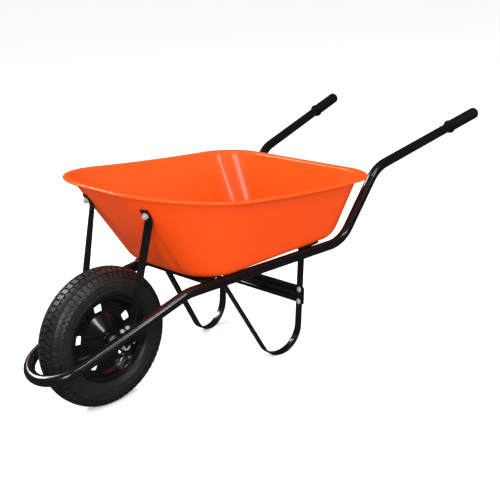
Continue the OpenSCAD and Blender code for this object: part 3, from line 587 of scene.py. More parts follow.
def make_groups():
    """Effects that several finishes share."""
    where, colour_kind, number = "NodeSocketVector", "NodeSocketColor", "NodeSocketFloat"
    tree, i, o = group(
        "settled_dust",
        [("Vector", where, (0, 0, 0)), ("Colour", colour_kind, (0.5, 0.5, 0.5, 1)),
         ("Dust Colour", colour_kind, (0.4, 0.37, 0.33, 1)), ("Amount", number, 0.1),
         ("Smooth Roughness", number, 0.2), ("Dust Roughness", number, 0.7)],
        [("Colour", colour_kind), ("Roughness", number)],
    )
    geo = tree.nodes.new("ShaderNodeNewGeometry")
    split = tree.nodes.new("ShaderNodeSeparateXYZ")
    tree.links.new(geo.outputs["Normal"], split.inputs[0])
    upward = spread(tree, split.outputs[2], -0.1, 1.0, 0.15, 1.0)
    patch = spread(tree, noise(tree, i.outputs["Vector"], 9.0, 6.0, 0.62), 0.42, 0.75, 0.0, 1.0)
    settled = math_node(tree, "MULTIPLY", upward, patch)
    share = math_node(tree, "MULTIPLY", settled, i.outputs["Amount"], True)
    dusty = mix_colour(tree, share, i.outputs["Colour"], i.outputs["Dust Colour"])
    rough = spread(tree, share, 0.0, 1.0, i.outputs["Smooth Roughness"], i.outputs["Dust Roughness"])
    tree.links.new(dusty, o.inputs["Colour"])
    tree.links.new(rough, o.inputs["Roughness"])

    tree, i, o = group(
        "paint_skin",
        [("Vector", where, (0, 0, 0)), ("Peel Scale", number, 260.0), ("Flow Scale", number, 24.0)],
        [("Height", number)],
    )
    peel = noise(tree, i.outputs["Vector"], i.outputs["Peel Scale"], 2.0)
    flow = noise(tree, i.outputs["Vector"], i.outputs["Flow Scale"], 2.0)
    fine_peel = math_node(tree, "MULTIPLY", peel, 0.35)
    tree.links.new(math_node(tree, "ADD", fine_peel, flow), o.inputs["Height"])

    tree, i, o = group(
        "fine_grain",
        [("Vector", where, (0, 0, 0)), ("Scale", number, 900.0), ("Coarse Scale", number, 60.0)],
        [("Height", number), ("Mask", number)],
    )
    fine = noise(tree, i.outputs["Vector"], i.outputs["Scale"], 3.0, 0.6)
    coarse = noise(tree, i.outputs["Vector"], i.outputs["Coarse Scale"], 4.0, 0.6)
    soft_coarse = math_node(tree, "MULTIPLY", coarse, 0.6)
    tree.links.new(math_node(tree, "ADD", fine, soft_coarse), o.inputs["Height"])
    tree.links.new(spread(tree, coarse, 0.35, 0.7, 0.0, 1.0), o.inputs["Mask"])


def use(tree, name, vector, **values):
    node = tree.nodes.new("ShaderNodeGroup")
    node.node_tree = bpy.data.node_groups[name]
    tree.links.new(vector, node.inputs["Vector"])
    for label, value in values.items():
        node.inputs[label.replace("_", " ")].default_value = value
    return node


def new_finish(name):
    made = bpy.data.materials.new(name)
    made.use_nodes = True
    tree = made.node_tree
    shader = tree.nodes["Principled BSDF"]
    where = tree.nodes.new("ShaderNodeTexCoord").outputs["Object"]
    return made, tree, shader, where


def bump(tree, shader, height, strength, distance):
    node = tree.nodes.new("ShaderNodeBump")
    node.inputs["Strength"].default_value = strength
    node.inputs["Distance"].default_value = distance
    tree.links.new(height, node.inputs["Height"])
    tree.links.new(node.outputs["Normal"], shader.inputs["Normal"])


def shade(value, k):
    return (*(min(1.0, part * k) for part in value[:3]), 1.0)


def dusted(tree, shader, where, body, amount, smooth, dusty):
    """Lays settled dust on a body colour and feeds the shader."""
    layer = use(tree, "settled_dust", where, Amount=amount, Smooth_Roughness=smooth, Dust_Roughness=dusty)
    tree.links.new(body, layer.inputs["Colour"])
    tree.links.new(layer.outputs["Colour"], shader.inputs["Base Color"])
    tree.links.new(layer.outputs["Roughness"], shader.inputs["Roughness"])
    return layer


def paint_finish(name, base, tint, smooth, dusty, dust, coat, coat_rough, peel, mirror):
    """Stoved gloss paint: faint drift in colour, orange peel and a little settled dust."""
    made, tree, shader, where = new_finish(name)
    drift = spread(tree, noise(tree, where, 3.5, 3.0), 0.3, 0.7, 0.0, 1.0)
    body = mix_colour(tree, drift, base, shade(base, tint))
    dusted(tree, shader, where, body, dust, smooth, dusty)
    bump(tree, shader, use(tree, "paint_skin", where).outputs["Height"], peel, 0.0004)
    shader.inputs["Coat Weight"].default_value = coat
    shader.inputs["Coat Roughness"].default_value = coat_rough
    shader.inputs["Specular IOR Level"].default_value = mirror


def rubber_finish(name, base, rough, dust, grain, mirror=0.5):
    """Moulded rubber or plastic: fine grain, cloudy tone and grey dust."""
    made, tree, shader, where = new_finish(name)
    skin = use(tree, "fine_grain", where, Scale=1100.0, Coarse_Scale=48.0)
    body = mix_colour(tree, skin.outputs["Mask"], shade(base, 0.8), shade(base, 1.25))
    layer = dusted(tree, shader, where, body, dust, rough, 0.85)
    layer.inputs["Dust Colour"].default_value = (0.13, 0.12, 0.11, 1)
    bump(tree, shader, skin.outputs["Height"], grain, 0.0005)
    shader.inputs["Specular IOR Level"].default_value = mirror


def metal_finish(name, base, low, high, scale, metal):
    """Plated or turned metal with a clouded sheen."""
    made, tree, shader, where = new_finish(name)
    cloud = use(tree, "fine_grain", where, Scale=scale, Coarse_Scale=90.0)
    tree.links.new(
        mix_colour(tree, cloud.outputs["Mask"], shade(base, 0.82), base), shader.inputs["Base Color"]
    )
    tree.links.new(spread(tree, cloud.outputs["Mask"], 0.0, 1.0, low, high), shader.inputs["Roughness"])
    shader.inputs["Metallic"].default_value = metal
    bump(tree, shader, cloud.outputs["Height"], 0.08, 0.0002)


SLOT_FINISH = {
    "tub_paint": "orange_gloss", "frame_paint": "black_gloss", "rim_paint": "rim_gloss",
    "tyre": "tyre_rubber", "inner_rubber": "tube_rubber", "grip": "grip_plastic", "cap": "cap_plastic",
    "nylon": "nylon_bush", "zinc": "zinc_plate", "axle_steel": "turned_steel",
}


def finish_for(slot):
    """The finish of a slot; all of them are built the first time one is asked for."""
    if "orange_gloss" not in bpy.data.materials:
        make_groups()
        paint_finish("orange_gloss", C("tub"), 0.94, 0.34, 0.5, 0.01, 0.26, 0.06, 0.03, 0.16)
        paint_finish("black_gloss", C("black"), 1.3, 0.24, 0.55, 0.006, 0.55, 0.06, 0.04, 0.3)
        paint_finish("rim_gloss", C("rim"), 1.3, 0.22, 0.5, 0.006, 0.5, 0.07, 0.05, 0.3)
        rubber_finish("tyre_rubber", C("rubber"), 0.40, 0.12, 0.22)
        rubber_finish("tube_rubber", C("rubber"), 0.5, 0.05, 0.2)
        rubber_finish("grip_plastic", C("grip"), 0.46, 0.01, 0.30, 0.18)
        rubber_finish("cap_plastic", C("grip"), 0.35, 0.01, 0.1, 0.3)
        rubber_finish("nylon_bush", C("nylon"), 0.4, 0.03, 0.1)
        metal_finish("zinc_plate", C("zinc"), 0.24, 0.38, 700.0, 0.45)
        metal_finish("turned_steel", C("steel"), 0.25, 0.42, 500.0, 0.7)
    return bpy.data.materials[SLOT_FINISH[slot]]


# ---------------------------------------------------------------- the frame tube and the grips
def side_line():
    s = S()
    front, rear, upper = heights()
    run = plane_run()
    x = handle_tube_x()
    end_z = upper + (x - s.upper_bend_x) * math.tan(s.handle_slope)
    start_x = loop_shape()[3]
    path = [
        Vector((start_x * run, tube_z0() + start_x * math.tan(s.front_slope))),
        Vector((s.front_bend_x * run, front)),
        Vector((s.rear_bend_x * run, rear)),
        Vector((s.upper_bend_x * run, upper)),
        Vector((x * run, end_z)),
    ]
    radii = [s.lower_bend_r, s.lower_bend_r, s.upper_bend_r]
    line = []
    for i in (1, 2, 3):
        line += bend_points(path, radii, i, 16)
    return line + [path[4]]


def loop_shape():
    s = S()
    narrow = math.atan(math.tan(s.taper) * math.cos(s.front_slope))
    apex = -s.loop_reach / math.cos(s.front_slope)
    r = (s.tube_half + math.tan(narrow) * apex) * math.cos(narrow) / (1 - math.sin(narrow))
    centre = apex + r
    return narrow, r, centre, (centre - r * math.sin(narrow)) * math.cos(s.front_slope)


def frame_line():
    s = S()
    narrow, r, centre, _ = loop_shape()

    def on_side(p, side):
        return Vector((p.x * math.cos(s.taper), side * (s.tube_half + p.x * math.sin(s.taper)), p.y))

    def loop_point(a):
        along = centre + r * math.cos(a)
        return Vector(
            (along * math.cos(s.front_slope), r * math.sin(a), tube_z0() + along * math.sin(s.front_slope))
        )

    line = side_line()
    steps = 48
    arc = [
        loop_point(1.5 * math.pi - narrow - (math.pi - 2 * narrow) * i / steps)
        for i in range(steps + 1)
    ]
    return [on_side(p, -1) for p in reversed(line)] + arc + [on_side(p, 1) for p in line]


class BARROW_OT_frame(bpy.types.Operator):
    """Bends the frame tube round the wheel"""

    bl_idname = "barrow.frame"
    bl_label = "Frame tube"

    def execute(self, context):
        tube = Shape().add(sweep(places_along(frame_line()), circle_points(S().tube_r, 40)))
        tube.finish("frame_tube_bent", "chassis", ["frame_tube"], "frame_paint")
        return {"FINISHED"}


class BARROW_OT_grips(bpy.types.Operator):
    """Moulds the two handle grips"""

    bl_idname = "barrow.grips"
    bl_label = "Grips"

    def execute(self, context):
        s = S()
        r, c, tall = s.grip_r, s.collar_r, s.grip_l
        for side, name in zip(SIDES, ("left", "right")):
            profile = [
                (s.tube_r + 0.1, 0), (c - 1.6, 0), (c - 0.5, 0.4), (c, 1.6), (c, 5.2), (c - 0.5, 6.4),
                (c - 1.4, 7), (r + 0.6, 8.2), (r, 9.6)
            ]
            h = 17.0
            while h < tall - 24:
                profile += [(r, h), (r - 0.7, h + 0.7), (r - 0.7, h + 1.9), (r, h + 2.6)]
                h += 7.0
            profile += [(r, tall - 14)]
            profile += [
                (r - 9 * (1 - math.cos(a)), tall - 9 * (1 - math.sin(a)))
                for a in [math.radians(d) for d in range(0, 91, 10)]
            ]
            profile += [(5.2, tall), (4.4, tall - 0.5), (4.2, tall - 1.4), (4.2, tall - 5), (0, tall - 5)]
            part = lathe(profile + [(0, tall - 12.5), (s.tube_r + 0.1, tall - 12.5)], 64)
            base = -(tall - 12)
            grip = Shape().add(part, at_handle(side) @ move(0, 0, base))
            grip.finish("grip_moulded_" + name, "chassis", ["grip_" + name], "grip", 50)
        return {"FINISHED"}


# ---------------------------------------------------------------- the tub
CORNER_STEPS = 56
EDGE_STEPS = 14


def outline(x0, x1, h0, h1, r0, r1):
    """A tapered rectangle with rounded corners, counter-clockwise from the front."""
    t = math.atan((h1 - h0) / (x1 - x0))

    def corner(cx, cy, r, a0, a1):
        return [
            Vector(
                (
                    cx + r * math.cos(a0 + (a1 - a0) * i / CORNER_STEPS),
                    cy + r * math.sin(a0 + (a1 - a0) * i / CORNER_STEPS)
                )
            )
            for i in range(CORNER_STEPS + 1)
        ]

    def edge(p, q):
        return [p.lerp(q, i / EDGE_STEPS) for i in range(1, EDGE_STEPS)]

    q = math.pi / 2
    a = corner(x0 + r0, -h0 + r0, r0, 2 * q, 3 * q - t)
    b = corner(x1 - r1, -h1 + r1, r1, 3 * q - t, 4 * q)
    c = corner(x1 - r1, h1 - r1, r1, 0, q + t)
    d = corner(x0 + r0, h0 - r0, r0, q + t, 2 * q)
    return a + edge(a[-1], b[0]) + b + edge(b[-1], c[0]) + c + edge(c[-1], d[0]) + d + edge(d[-1], a[0])


def bowed(points):
    s = S()
    out = []
    for p in points:
        t = (p.x - s.tub_x) / s.tub_l
        out.append(Vector((p.x, p.y * (1 + 4 * t * (1 - t) * s.side_bow / (s.tub_w / 2)))))
    return out


def outward(points, j):
    d = points[(j + 1) % len(points)] - points[j - 1]
    return Vector((d.y, -d.x)).normalized()


def fold_depth(out, t):
    """How deep the pressed fold down each front corner is, from the way the wall faces and the height up it."""
    s = S()
    bearing = math.degrees(math.atan2(abs(out.y), -out.x))
    across = math.radians(bearing - s.fold_at) * (s.floor_front_r * (1 - t) + s.rim_front_r * t)
    width = s.fold_w if bearing > s.fold_at else 2.2 * s.fold_w
    fade = min(1.0, t / 0.16) * max(0.0, min(1.0, (0.82 - t) / 0.5))
    return s.fold_depth * fade * fade * (3 - 2 * fade) * math.exp(-((across / width) ** 2))


def tub_levels():
    """Every upright line of the tub's outside, from the floor to the end of the rolled rim."""
    s = S()
    x1 = s.tub_x + s.tub_l
    front, rear = (s.tub_w - s.tub_narrow) / 2, s.tub_w / 2
    wall = bowed(
        outline(
            s.tub_x + s.lip_w, x1 - s.lip_w, front - s.lip_w, rear - s.lip_w, s.rim_front_r - s.lip_w,
            s.rim_rear_r + 8
        )
    )
    edge = bowed(outline(s.tub_x, x1, front, rear, s.rim_front_r, s.rim_rear_r))
    fb = x1 - s.rear_setback
    foot = outline(
        fb - s.floor_l, fb, (s.floor_w - s.floor_narrow) / 2, s.floor_w / 2, s.floor_front_r, s.floor_rear_r
    )
    z_front = deck_z(fb - s.floor_l, tub_under()) + s.tub_front_depth
    z_rear = deck_z(fb, tub_under()) + s.tub_rear_depth

    def rim_z(x):
        t = (x - s.tub_x) / s.tub_l
        return z_front + (z_rear - z_front) * t - 4 * s.rim_sag * t * (1 - t)

    def flat(p):
        return Vector((p.x, p.y, deck_z(p.x, tub_under())))

    lines = []
    bend, roll = 8.0, 3.5
    for j, f in enumerate(foot):
        nf, nr = outward(foot, j), outward(wall, j)
        knee = 27 + 21 * abs(nf.x)
        b = flat(f)
        z = rim_z(wall[j].x)
        r = Vector((wall[j].x, wall[j].y, z))
        up = (r - b).normalized()
        out = Vector((nr.x, nr.y, 0))
        mid = Vector((edge[j].x, edge[j].y, z)) - out * (roll + 0.15)
        line = [flat(f - nf * (knee + 10))]
        line += [blend(flat(f - nf * knee), b, b + up * knee, i / 10) for i in range(11)]
        line += [b + up * knee + (r - b - up * (knee + bend)) * i / 20 for i in range(1, 20)]
        line += [blend(r - up * bend, r, r + out * bend, i / 7) for i in range(8)]
        small = roll - s.sheet_t
        for i in range(15):
            a = math.radians(265) * i / 14
            line.append(mid + out * small * math.sin(a) - Vector((0, 0, small * (1 - math.cos(a)))))
        face = out.cross(up).cross(up).normalized()
        face *= 1 if face.dot(out) > 0 else -1
        line = [p - face * fold_depth(out, (p.z - b.z) / (r.z - b.z)) for p in line]
        lines.append(line)
    return lines


class BARROW_OT_tub(bpy.types.Operator):
    """Presses the tub with its rolled rim"""

    bl_idname = "barrow.tub"
    bl_label = "Tub"

    def execute(self, context):
        s = S()
        lines = tub_levels()
        part = bmesh.new()
        column = part.verts.layers.int.new("column")
        verts, loop = ring(part, [line[0] for line in lines])
        for j, v in enumerate(verts):
            v[column] = j
        bmesh.ops.contextual_create(part, geom=loop)
        for k in range(1, len(lines[0])):
            loop, verts = pull(part, loop)
            for v in verts:
                v.co = lines[v[column]][k]
        bmesh.ops.recalc_face_normals(part, faces=part.faces[:])
        lowest = min(part.faces, key=lambda f: f.calc_center_median().z)
        if lowest.normal.z > 0:
            bmesh.ops.reverse_faces(part, faces=part.faces[:])
        piece = Shape().take(part).finish("tub_pressed", "chassis", ["tub"], "tub_paint", 180)
        wall = piece.modifiers.new("sheet", "SOLIDIFY")
        wall.thickness = s.sheet_t / 1000
        wall.offset = -1.0
        wall.use_even_offset = True
        return {"FINISHED"}


# ---------------------------------------------------------------- flat bar, plates and the cross member
def bar_section():
    s = S()
    return round_rect(s.bar_w, s.bar_t, 0.9, 3)


class BARROW_OT_plates(bpy.types.Operator):
    """Cuts the two plates that carry the tub"""

    bl_idname = "barrow.plates"
    bl_label = "Cross plates"

    def execute(self, context):
        s = S()
        line, _ = leg_corners()
        starts = [
            line[1].x * math.cos(s.taper) + 4 - s.plate_l, line[3].x * math.cos(s.taper) + 48 - s.plate_l
        ]
        for x0, name in zip(starts, ("front", "rear")):
            wide = 2 * (half_at(x0) + 3)
            part = slab(round_rect(s.plate_l, wide, 8, 8), s.plate_t, 0.8, 3)
            place = move(
                x0, 0, deck_z(x0, plate_under())
            ) @ turn("Y", -s.deck_slope) @ move(s.plate_l / 2, 0, 0)
            plate = Shape().add(part, place)
            plate.finish("plate_" + name, "chassis", ["cross_plate_" + name], "frame_paint")
        return {"FINISHED"}


def strut_places(side):
    """Places along a strut: along the tube, up to the tub and along its wall."""
    s = S()
    pitch = in_plane(s.front_slope)
    along = Vector(
        (math.cos(s.taper) * math.cos(pitch), side * math.sin(s.taper) * math.cos(pitch), math.sin(pitch))
    )
    across = Vector((-math.sin(s.taper), side * math.cos(s.taper), 0))
    over = along.cross(across) * side
    seat, out = strut_seat(side)
    down = Vector((-out.y, out.x, 0)).cross(out).normalized()
    if down.z > 0:
        down = -down
    lift = s.bar_t / 2 + TOUCH

    def over_tube(x):
        base = Vector((x, side * half_at(x), tube_z0() + x * math.tan(s.front_slope)))
        return base + over * (s.tube_r + lift) - across * 6

    foot_a, foot_b = over_tube(-18), over_tube(20)
    tab_a = seat + out * (lift + 0.2) + down * 20
    tab_b = seat + out * (lift + 0.2) - down * 15
    wall_across = down.cross(out).normalized() * -side
    if wall_across.dot(across) < 0:
        wall_across = -wall_across

    def rounded(p, q, r, n=8):
        a, b = q + (p - q).normalized() * 7, q + (r - q).normalized() * 7
        return [blend(a, q, b, i / n) for i in range(n + 1)]

    line = [foot_a, foot_a.lerp(foot_b, 0.5)] + rounded(foot_a, foot_b, tab_a)
    line += [foot_b.lerp(tab_a, i / 14) for i in range(1, 14)]
    line += rounded(foot_b, tab_a, tab_b) + [tab_a.lerp(tab_b, 0.6), tab_b]
    places = []
    for i, p in enumerate(line):
        way = (line[min(i + 1, len(line) - 1)] - line[max(i - 1, 0)]).normalized()
        t = min(1.0, max(0.0, (p.z - foot_b.z - 10) / (tab_a.z - foot_b.z - 20)))
        wide = across * (1 - t) + wall_across * t
        wide = (wide - way * wide.dot(way)).normalized()
        places.append(columns(wide, way.cross(wide), way, p))
    return places


class BARROW_OT_struts(bpy.types.Operator):
    """Bends the two struts between the frame and the tub's front wall"""

    bl_idname = "barrow.struts"
    bl_label = "Struts"

    def execute(self, context):
        for side, name in zip(SIDES, ("left", "right")):
            part = sweep(strut_places(side), bar_section())
            ease_ends(part)
            Shape().add(part).finish("strut_bar_" + name, "chassis", ["strut_" + name], "frame_paint")
        return {"FINISHED"}


def ease_ends(part):
    """Eases the edges round both ends of a bar."""
    bmesh.ops.recalc_face_normals(part, faces=part.faces[:])
    ends = sorted(part.faces, key=lambda f: len(f.verts))[-2:]
    bevel(part, [e for face in ends for e in face.edges], BAR_EASE, 2)


class BARROW_OT_legs(bpy.types.Operator):
    """Bends the two legs and presses the member between them"""

    bl_idname = "barrow.legs"
    bl_label = "Legs"

    def execute(self, context):
        s = S()
        path, rear = leg_corners()
        radii = [7, s.foot_r - s.bar_t / 2, 7]
        flat = [path[0]] + bend_points(path, radii, 1, 8)
        flat += bend_points(path, radii, 2, 40) + bend_points(path, radii, 3, 8) + [path[4]]
        for side, name in zip(SIDES, ("left", "right")):
            plane = side_plane(side, leg_inset())
            line = [plane @ Vector((p.x, 0, p.y)) for p in flat]
            normal = (plane.to_3x3() @ Vector((0, 1, 0))).normalized()
            places = [columns(normal, way.cross(normal), way, p) for p, way in zip(line, ways_along(line))]
            part = sweep(places, bar_section())
            ease_ends(part)
            Shape().add(part).finish("leg_bar_" + name, "chassis", ["leg_" + name], "frame_paint")
        self.member(rear)
        return {"FINISHED"}

    def member(self, rear):
        s = S()
        t = 2.5
        h, rib, w, d = s.member_h / 2 - t / 2, s.member_h / 5, s.member_h / 11, 6
        corners = [(d, -h), (0, -h), (0, -rib - w), (d, -rib - w / 3), (d, -rib + w / 3), (0, -rib + w),
                   (0, rib - w), (d, rib - w / 3), (d, rib + w / 3), (0, rib + w), (0, h), (d, h)]
        z = s.member_z
        x = (rear.x + math.tan(s.leg_lean) * (z - rear.y)) * math.cos(s.taper)
        half = leg_half_at(x) - s.bar_w / 2 * math.cos(s.taper)
        back = (s.bar_t / 2 + TOUCH + t / 2) * plane_run() + s.bar_w / 2 * math.sin(s.taper)
        place = move(x + back, 0, z) @ turn("Y", s.leg_lean) @ turn("X", math.pi / 2)
        section = sheet_profile(softened(corners, 1.6, 2.2), t)
        part = sweep([place @ move(0, 0, -half), place @ move(0, 0, half)], section)
        made = Shape().add(part)
        for side in SIDES:
            tab = slab(round_rect(s.member_h, 30, 3, 5), t, 0.5, 2)
            made.add(tab, on_rear_bar(side, 0) @ move(0, 0, -s.bar_t / 2 - TOUCH - t))
        made.finish("cross_member", "chassis", ["leg_cross_member"], "frame_paint")


# ---------------------------------------------------------------- brackets, axle and fasteners
class BARROW_OT_brackets(bpy.types.Operator):
    """Presses the two brackets that hold the axle"""

    bl_idname = "barrow.brackets"
    bl_label = "Axle brackets"

    def execute(self, context):
        s = S()
        t, l, inner, boss = BRACKET_T, 46.0, BRACKET_FACE, 17.0
        under = s.tube_r + TOUCH
        for side, name in zip(SIDES, ("left", "right")):
            made = Shape()
            top = s.tube_rise - under - 3
            slope = math.tan(s.front_slope)
            outer = [
                (boss * math.cos(a), boss * math.sin(a))
                for a in [math.radians(d) for d in range(180, 361, 10)]
            ]
            outer += [(l / 2 - 1, top + (l / 2 - 1) * slope), (-l / 2 + 1, top - (l / 2 - 1) * slope)]
            web = slab(outer, t, 0.5, 2)
            made.add(web, move(0, side * inner + (t if side > 0 else 0), s.tyre_r) @ turn("X", math.pi / 2))
            reach = half_at(0) + 12 - inner
            flange = slab(round_rect(l, reach, 4, 6), t, 0.5, 2)
            shift = side * (inner + reach / 2 - half_at(0))
            made.add(flange, at_tube(side, 0) @ move(1, shift, -under - t))
            made.finish(
                "axle_bracket_" + name + "_bent", "chassis", ["axle_bracket_" + name], "frame_paint"
            )
        return {"FINISHED"}


def nut_part(across, thick, hole):
    """A hexagon nut with chamfered corners and a bored centre."""
    flat, corner, slope = across / 2 * 1.02, across / 2 * 1.155, across * 0.06
    low = [(hole, 0.4), (hole + 0.4, 0), (flat, 0), (corner, slope)]
    part = lathe(low + [(r, thick - h) for r, h in reversed(low)], 48)
    for i in range(6):
        a = math.radians(60 * i + 30)
        n = Vector((math.cos(a), math.sin(a), 0))
        cut = bmesh.ops.bisect_plane(
            part, geom=everything(part), dist=0.0005,
            plane_co=n * across / 2, plane_no=n, clear_outer=True, clear_inner=False,
        )
        bmesh.ops.edgeloop_fill(part, edges=edges_of(cut["geom_cut"]))
    return part


def shank_profile(r, low, high, pitch=1.25, threaded=14.0):
    """Side of a bolt from its tip at low up to high, with its thread."""
    points = [(0, low), (r * 0.72, low), (r * 0.86, low + 0.6)]
    z = low + 1.0
    while z < min(low + threaded, high - 2):
        points += [(r, z), (r * 0.86, z + pitch * 0.5)]
        z += pitch
    return points + [(r, z), (r, high)]


def cup_bolt(r, shank):
    """Domed head on Z = 0, shank downwards."""
    head_r, head_h = r * 2.1, r
    ball = (head_r**2 + head_h**2) / (2 * head_h)
    dome = [(head_r, 0), (head_r, 0.35)]
    for i in range(1, 10):
        x = head_r * (1 - i / 9)
        dome.append((x, head_h - ball + math.sqrt(ball**2 - x**2)))
    return lathe(shank_profile(r, -shank, 0) + dome, 40)


def washer_part(outer, thick, hole):
    e = thick * 0.22
    return lathe(
        [
            (hole, e), (hole + e, 0), (outer - e, 0), (outer, e), (outer, thick - e), (outer - e, thick),
            (hole + e, thick), (hole, thick - e)
        ],
        48
    )


class BARROW_OT_axle(bpy.types.Operator):
    """Turns the axle with its spacers, washers and nuts"""

    bl_idname = "barrow.axle"
    bl_label = "Axle"

    def execute(self, context):
        s = S()
        inner, t, wt, nt = BRACKET_FACE, BRACKET_T, 1.6, 8.0
        end = inner + t + wt + nt + 0.8
        r = s.axle_r
        half = [(r - 1.4, end), (r - 0.5, end - 0.9)]
        z = end - 1.3
        while z > end - 13:
            half += [(r, z), (r - 0.7, z - 0.75)]
            z -= 1.5
        half += [(r, z)]
        profile = [(0, end)] + half + [(x, -y) for x, y in reversed(half)] + [(0, -end)]
        Shape().add(
            lathe(profile, 48, closed=False), on_axle(1, 0)
        ).finish("axle_rod", "chassis", ["axle"], "axle_steel")
        start = s.hub_half + 3 + 0.3
        for side, name in zip(SIDES, ("left", "right")):
            part = washer_part(r + 3.5, inner - TOUCH - start, r + 0.25)
            Shape().add(part, on_axle(side, start)).finish(
                "axle_sleeve_" + name, "chassis", ["axle_spacer_" + name], "axle_steel"
            )
        washers, nuts = Shape(), Shape()
        for side in SIDES:
            washers.add(washer_part(11, wt, r + 0.25), on_axle(side, inner + t + TOUCH))
            nuts.add(nut_part(19, nt, r + 0.02), on_axle(side, inner + t + wt + 2 * TOUCH))
        washers.finish("axle_washer_pair", "chassis", ["axle_washers"], "zinc")
        nuts.finish("axle_nut_pair", "chassis", ["axle_nuts"], "zinc", 25)
        return {"FINISHED"}


class BARROW_OT_fasteners(bpy.types.Operator):
    """Makes the bolts, washers and nuts of the tub, struts, brackets and legs"""

    bl_idname = "barrow.fasteners"
    bl_label = "Fasteners"

    def execute(self, context):
        s = S()
        r, small = s.bolt_r, s.small_bolt_r
        nut, small_nut, washer = 6.5, 5.0, 1.6
        settle = TOUCH + s.bar_w / 2 * math.sin(s.taper) * math.tan(s.deck_slope)

        def gather(name, node, parts):
            made = Shape()
            for part, place in parts:
                made.add(part, place)
            made.finish(name, "chassis", [node], "zinc", 28)

        under = -s.plate_t - s.bar_t - 2 * settle
        through = s.sheet_t + s.plate_t + s.bar_t + 3 * TOUCH
        tub = tub_bolt_places()
        gather(
            "tub_bolt_set", "tub_bolts",
            [(cup_bolt(r, through + washer + nut + 4), p @ move(0, 0, s.sheet_t + TOUCH)) for p in tub]
        )
        gather(
            "tub_washer_set", "tub_washers",
            [(washer_part(8.5, washer, r + 0.3), p @ move(0, 0, under - 4 * TOUCH - washer)) for p in tub]
        )
        gather(
            "tub_nut_set", "tub_nuts",
            [(nut_part(13, nut, r + 0.02), p @ move(0, 0, under - 5 * TOUCH - washer - nut)) for p in tub]
        )
        wall = [at_strut_bolt(side) for side in SIDES]
        flip = turn("X", math.pi)
        out = s.bar_t + washer + nut + 4
        gather(
            "strut_bolt_set", "strut_bolts",
            [(cup_bolt(r, out + s.sheet_t), p @ move(0, 0, -s.sheet_t - 0.7) @ flip) for p in wall]
        )
        gather(
            "strut_washer_set", "strut_washers",
            [(washer_part(8.5, washer, r + 0.3), p @ move(0, 0, s.bar_t + 0.2 + 2 * TOUCH)) for p in wall]
        )
        gather(
            "strut_nut_set", "strut_nuts",
            [
                (nut_part(13, nut, r + 0.02), p @ move(0, 0, s.bar_t + 0.2 + washer + 3 * TOUCH))
                for p in wall
            ]
        )
        feet = [at_tube(side, x) for side in SIDES for x in (-10, 4)]
        grip_length = s.bar_t + 2 * s.tube_r + 4 + 3 * TOUCH
        hexes = []
        for p in feet:
            head = p @ move(0, 0, s.tube_r + s.bar_t + 2 * TOUCH)
            hexes.append(
                (lathe(shank_profile(small, -grip_length - small_nut - 4, 0.5, 1.0) + [(0, 0.5)], 32), head)
            )
            hexes.append((nut_part(10, 4, 0.02), head))
        gather("bracket_bolt_set", "bracket_bolts", hexes)
        gather(
            "bracket_nut_set", "bracket_nuts",
            [
                (
                    nut_part(10, small_nut, small + 0.02),
                    p @ move(0, 0, -s.tube_r - 4 - small_nut - 2 * TOUCH)
                )
                for p in feet
            ]
        )
        bars = [on_rear_bar(side, up) for side in SIDES for up in (-18, 18)]
        gather(
            "member_bolt_set", "cross_member_bolts",
            [(cup_bolt(r, s.bar_t + 2.5 + nut + 4), p @ move(0, 0, s.bar_t / 2 + TOUCH)) for p in bars]
        )
        gather(
            "member_nut_set", "cross_member_nuts",
            [
                (nut_part(13, nut, r + 0.02), p @ move(0, 0, -s.bar_t / 2 - 2.5 - nut - 2 * TOUCH))
                for p in bars
            ]
        )
        return {"FINISHED"}


# ---------------------------------------------------------------- the wheel
def swell(v):
    return math.copysign(abs(v) ** 0.85, v)


def tyre_point(degrees, inset=0.0):
    """A point on the tyre's outside, as [radius, distance from the middle]."""
    s = S()
    mid = s.rim_r + 26
    a = math.radians(degrees)
    up = (
        s.tyre_r - inset - mid
    ) * swell(math.sin(a)) if math.sin(a) > 0 else (mid - s.rim_r + 9) * math.sin(a)
    return mid + up, (s.tyre_w / 2 - inset) * swell(math.cos(a))


def wheel_place():
    return on_axle(1, 0)


def tread_block(angles, y_inner, width, skew, inset):
    """One block of tread: a patch of the tyre's outside with its sides sunk into the carcass."""
    part = bmesh.new()
    top = [tyre_point(a) for a in angles]
    low = [tyre_point(a, inset + 1.0) for a in reversed(angles)]
    verts, loop = ring(part, [Vector((r, 0, y)) for r, y in top + low])
    bmesh.ops.contextual_create(part, geom=loop)
    bmesh.ops.spin(
        part, geom=everything(part), cent=(0, 0, 0), axis=(0, 0, 1),
        dvec=(0, 0, 0), angle=width, steps=2, use_merge=False, use_duplicate=False,
    )
    bmesh.ops.recalc_face_normals(part, faces=part.faces[:])
    high = [e for e in part.edges if e.is_manifold and e.calc_face_angle(0.0) > 0.9
            and all(math.hypot(v.co.x, v.co.y) > tyre_point(angles[-1], inset - 1.5)[0] for v in e.verts)]
    bevel(part, high, 0.7, 1)
    for v in part.verts:
        v.co = turn("Z", skew * (abs(v.co.z) - y_inner) / 26) @ v.co
    return part


def repeated(part, count, start=0.0):
    """Copies a shape evenly round Z."""
    bmesh.ops.rotate(part, cent=(0, 0, 0), matrix=Matrix.Rotation(start, 3, "Z"), verts=part.verts[:])
    bmesh.ops.spin(
        part, geom=everything(part), cent=(0, 0, 0), axis=(0, 0, 1),
        dvec=(0, 0, 0), angle=math.tau * (
            count - 1
        ) / count, steps=count - 1, use_merge=False, use_duplicate=True,
    )
    return part


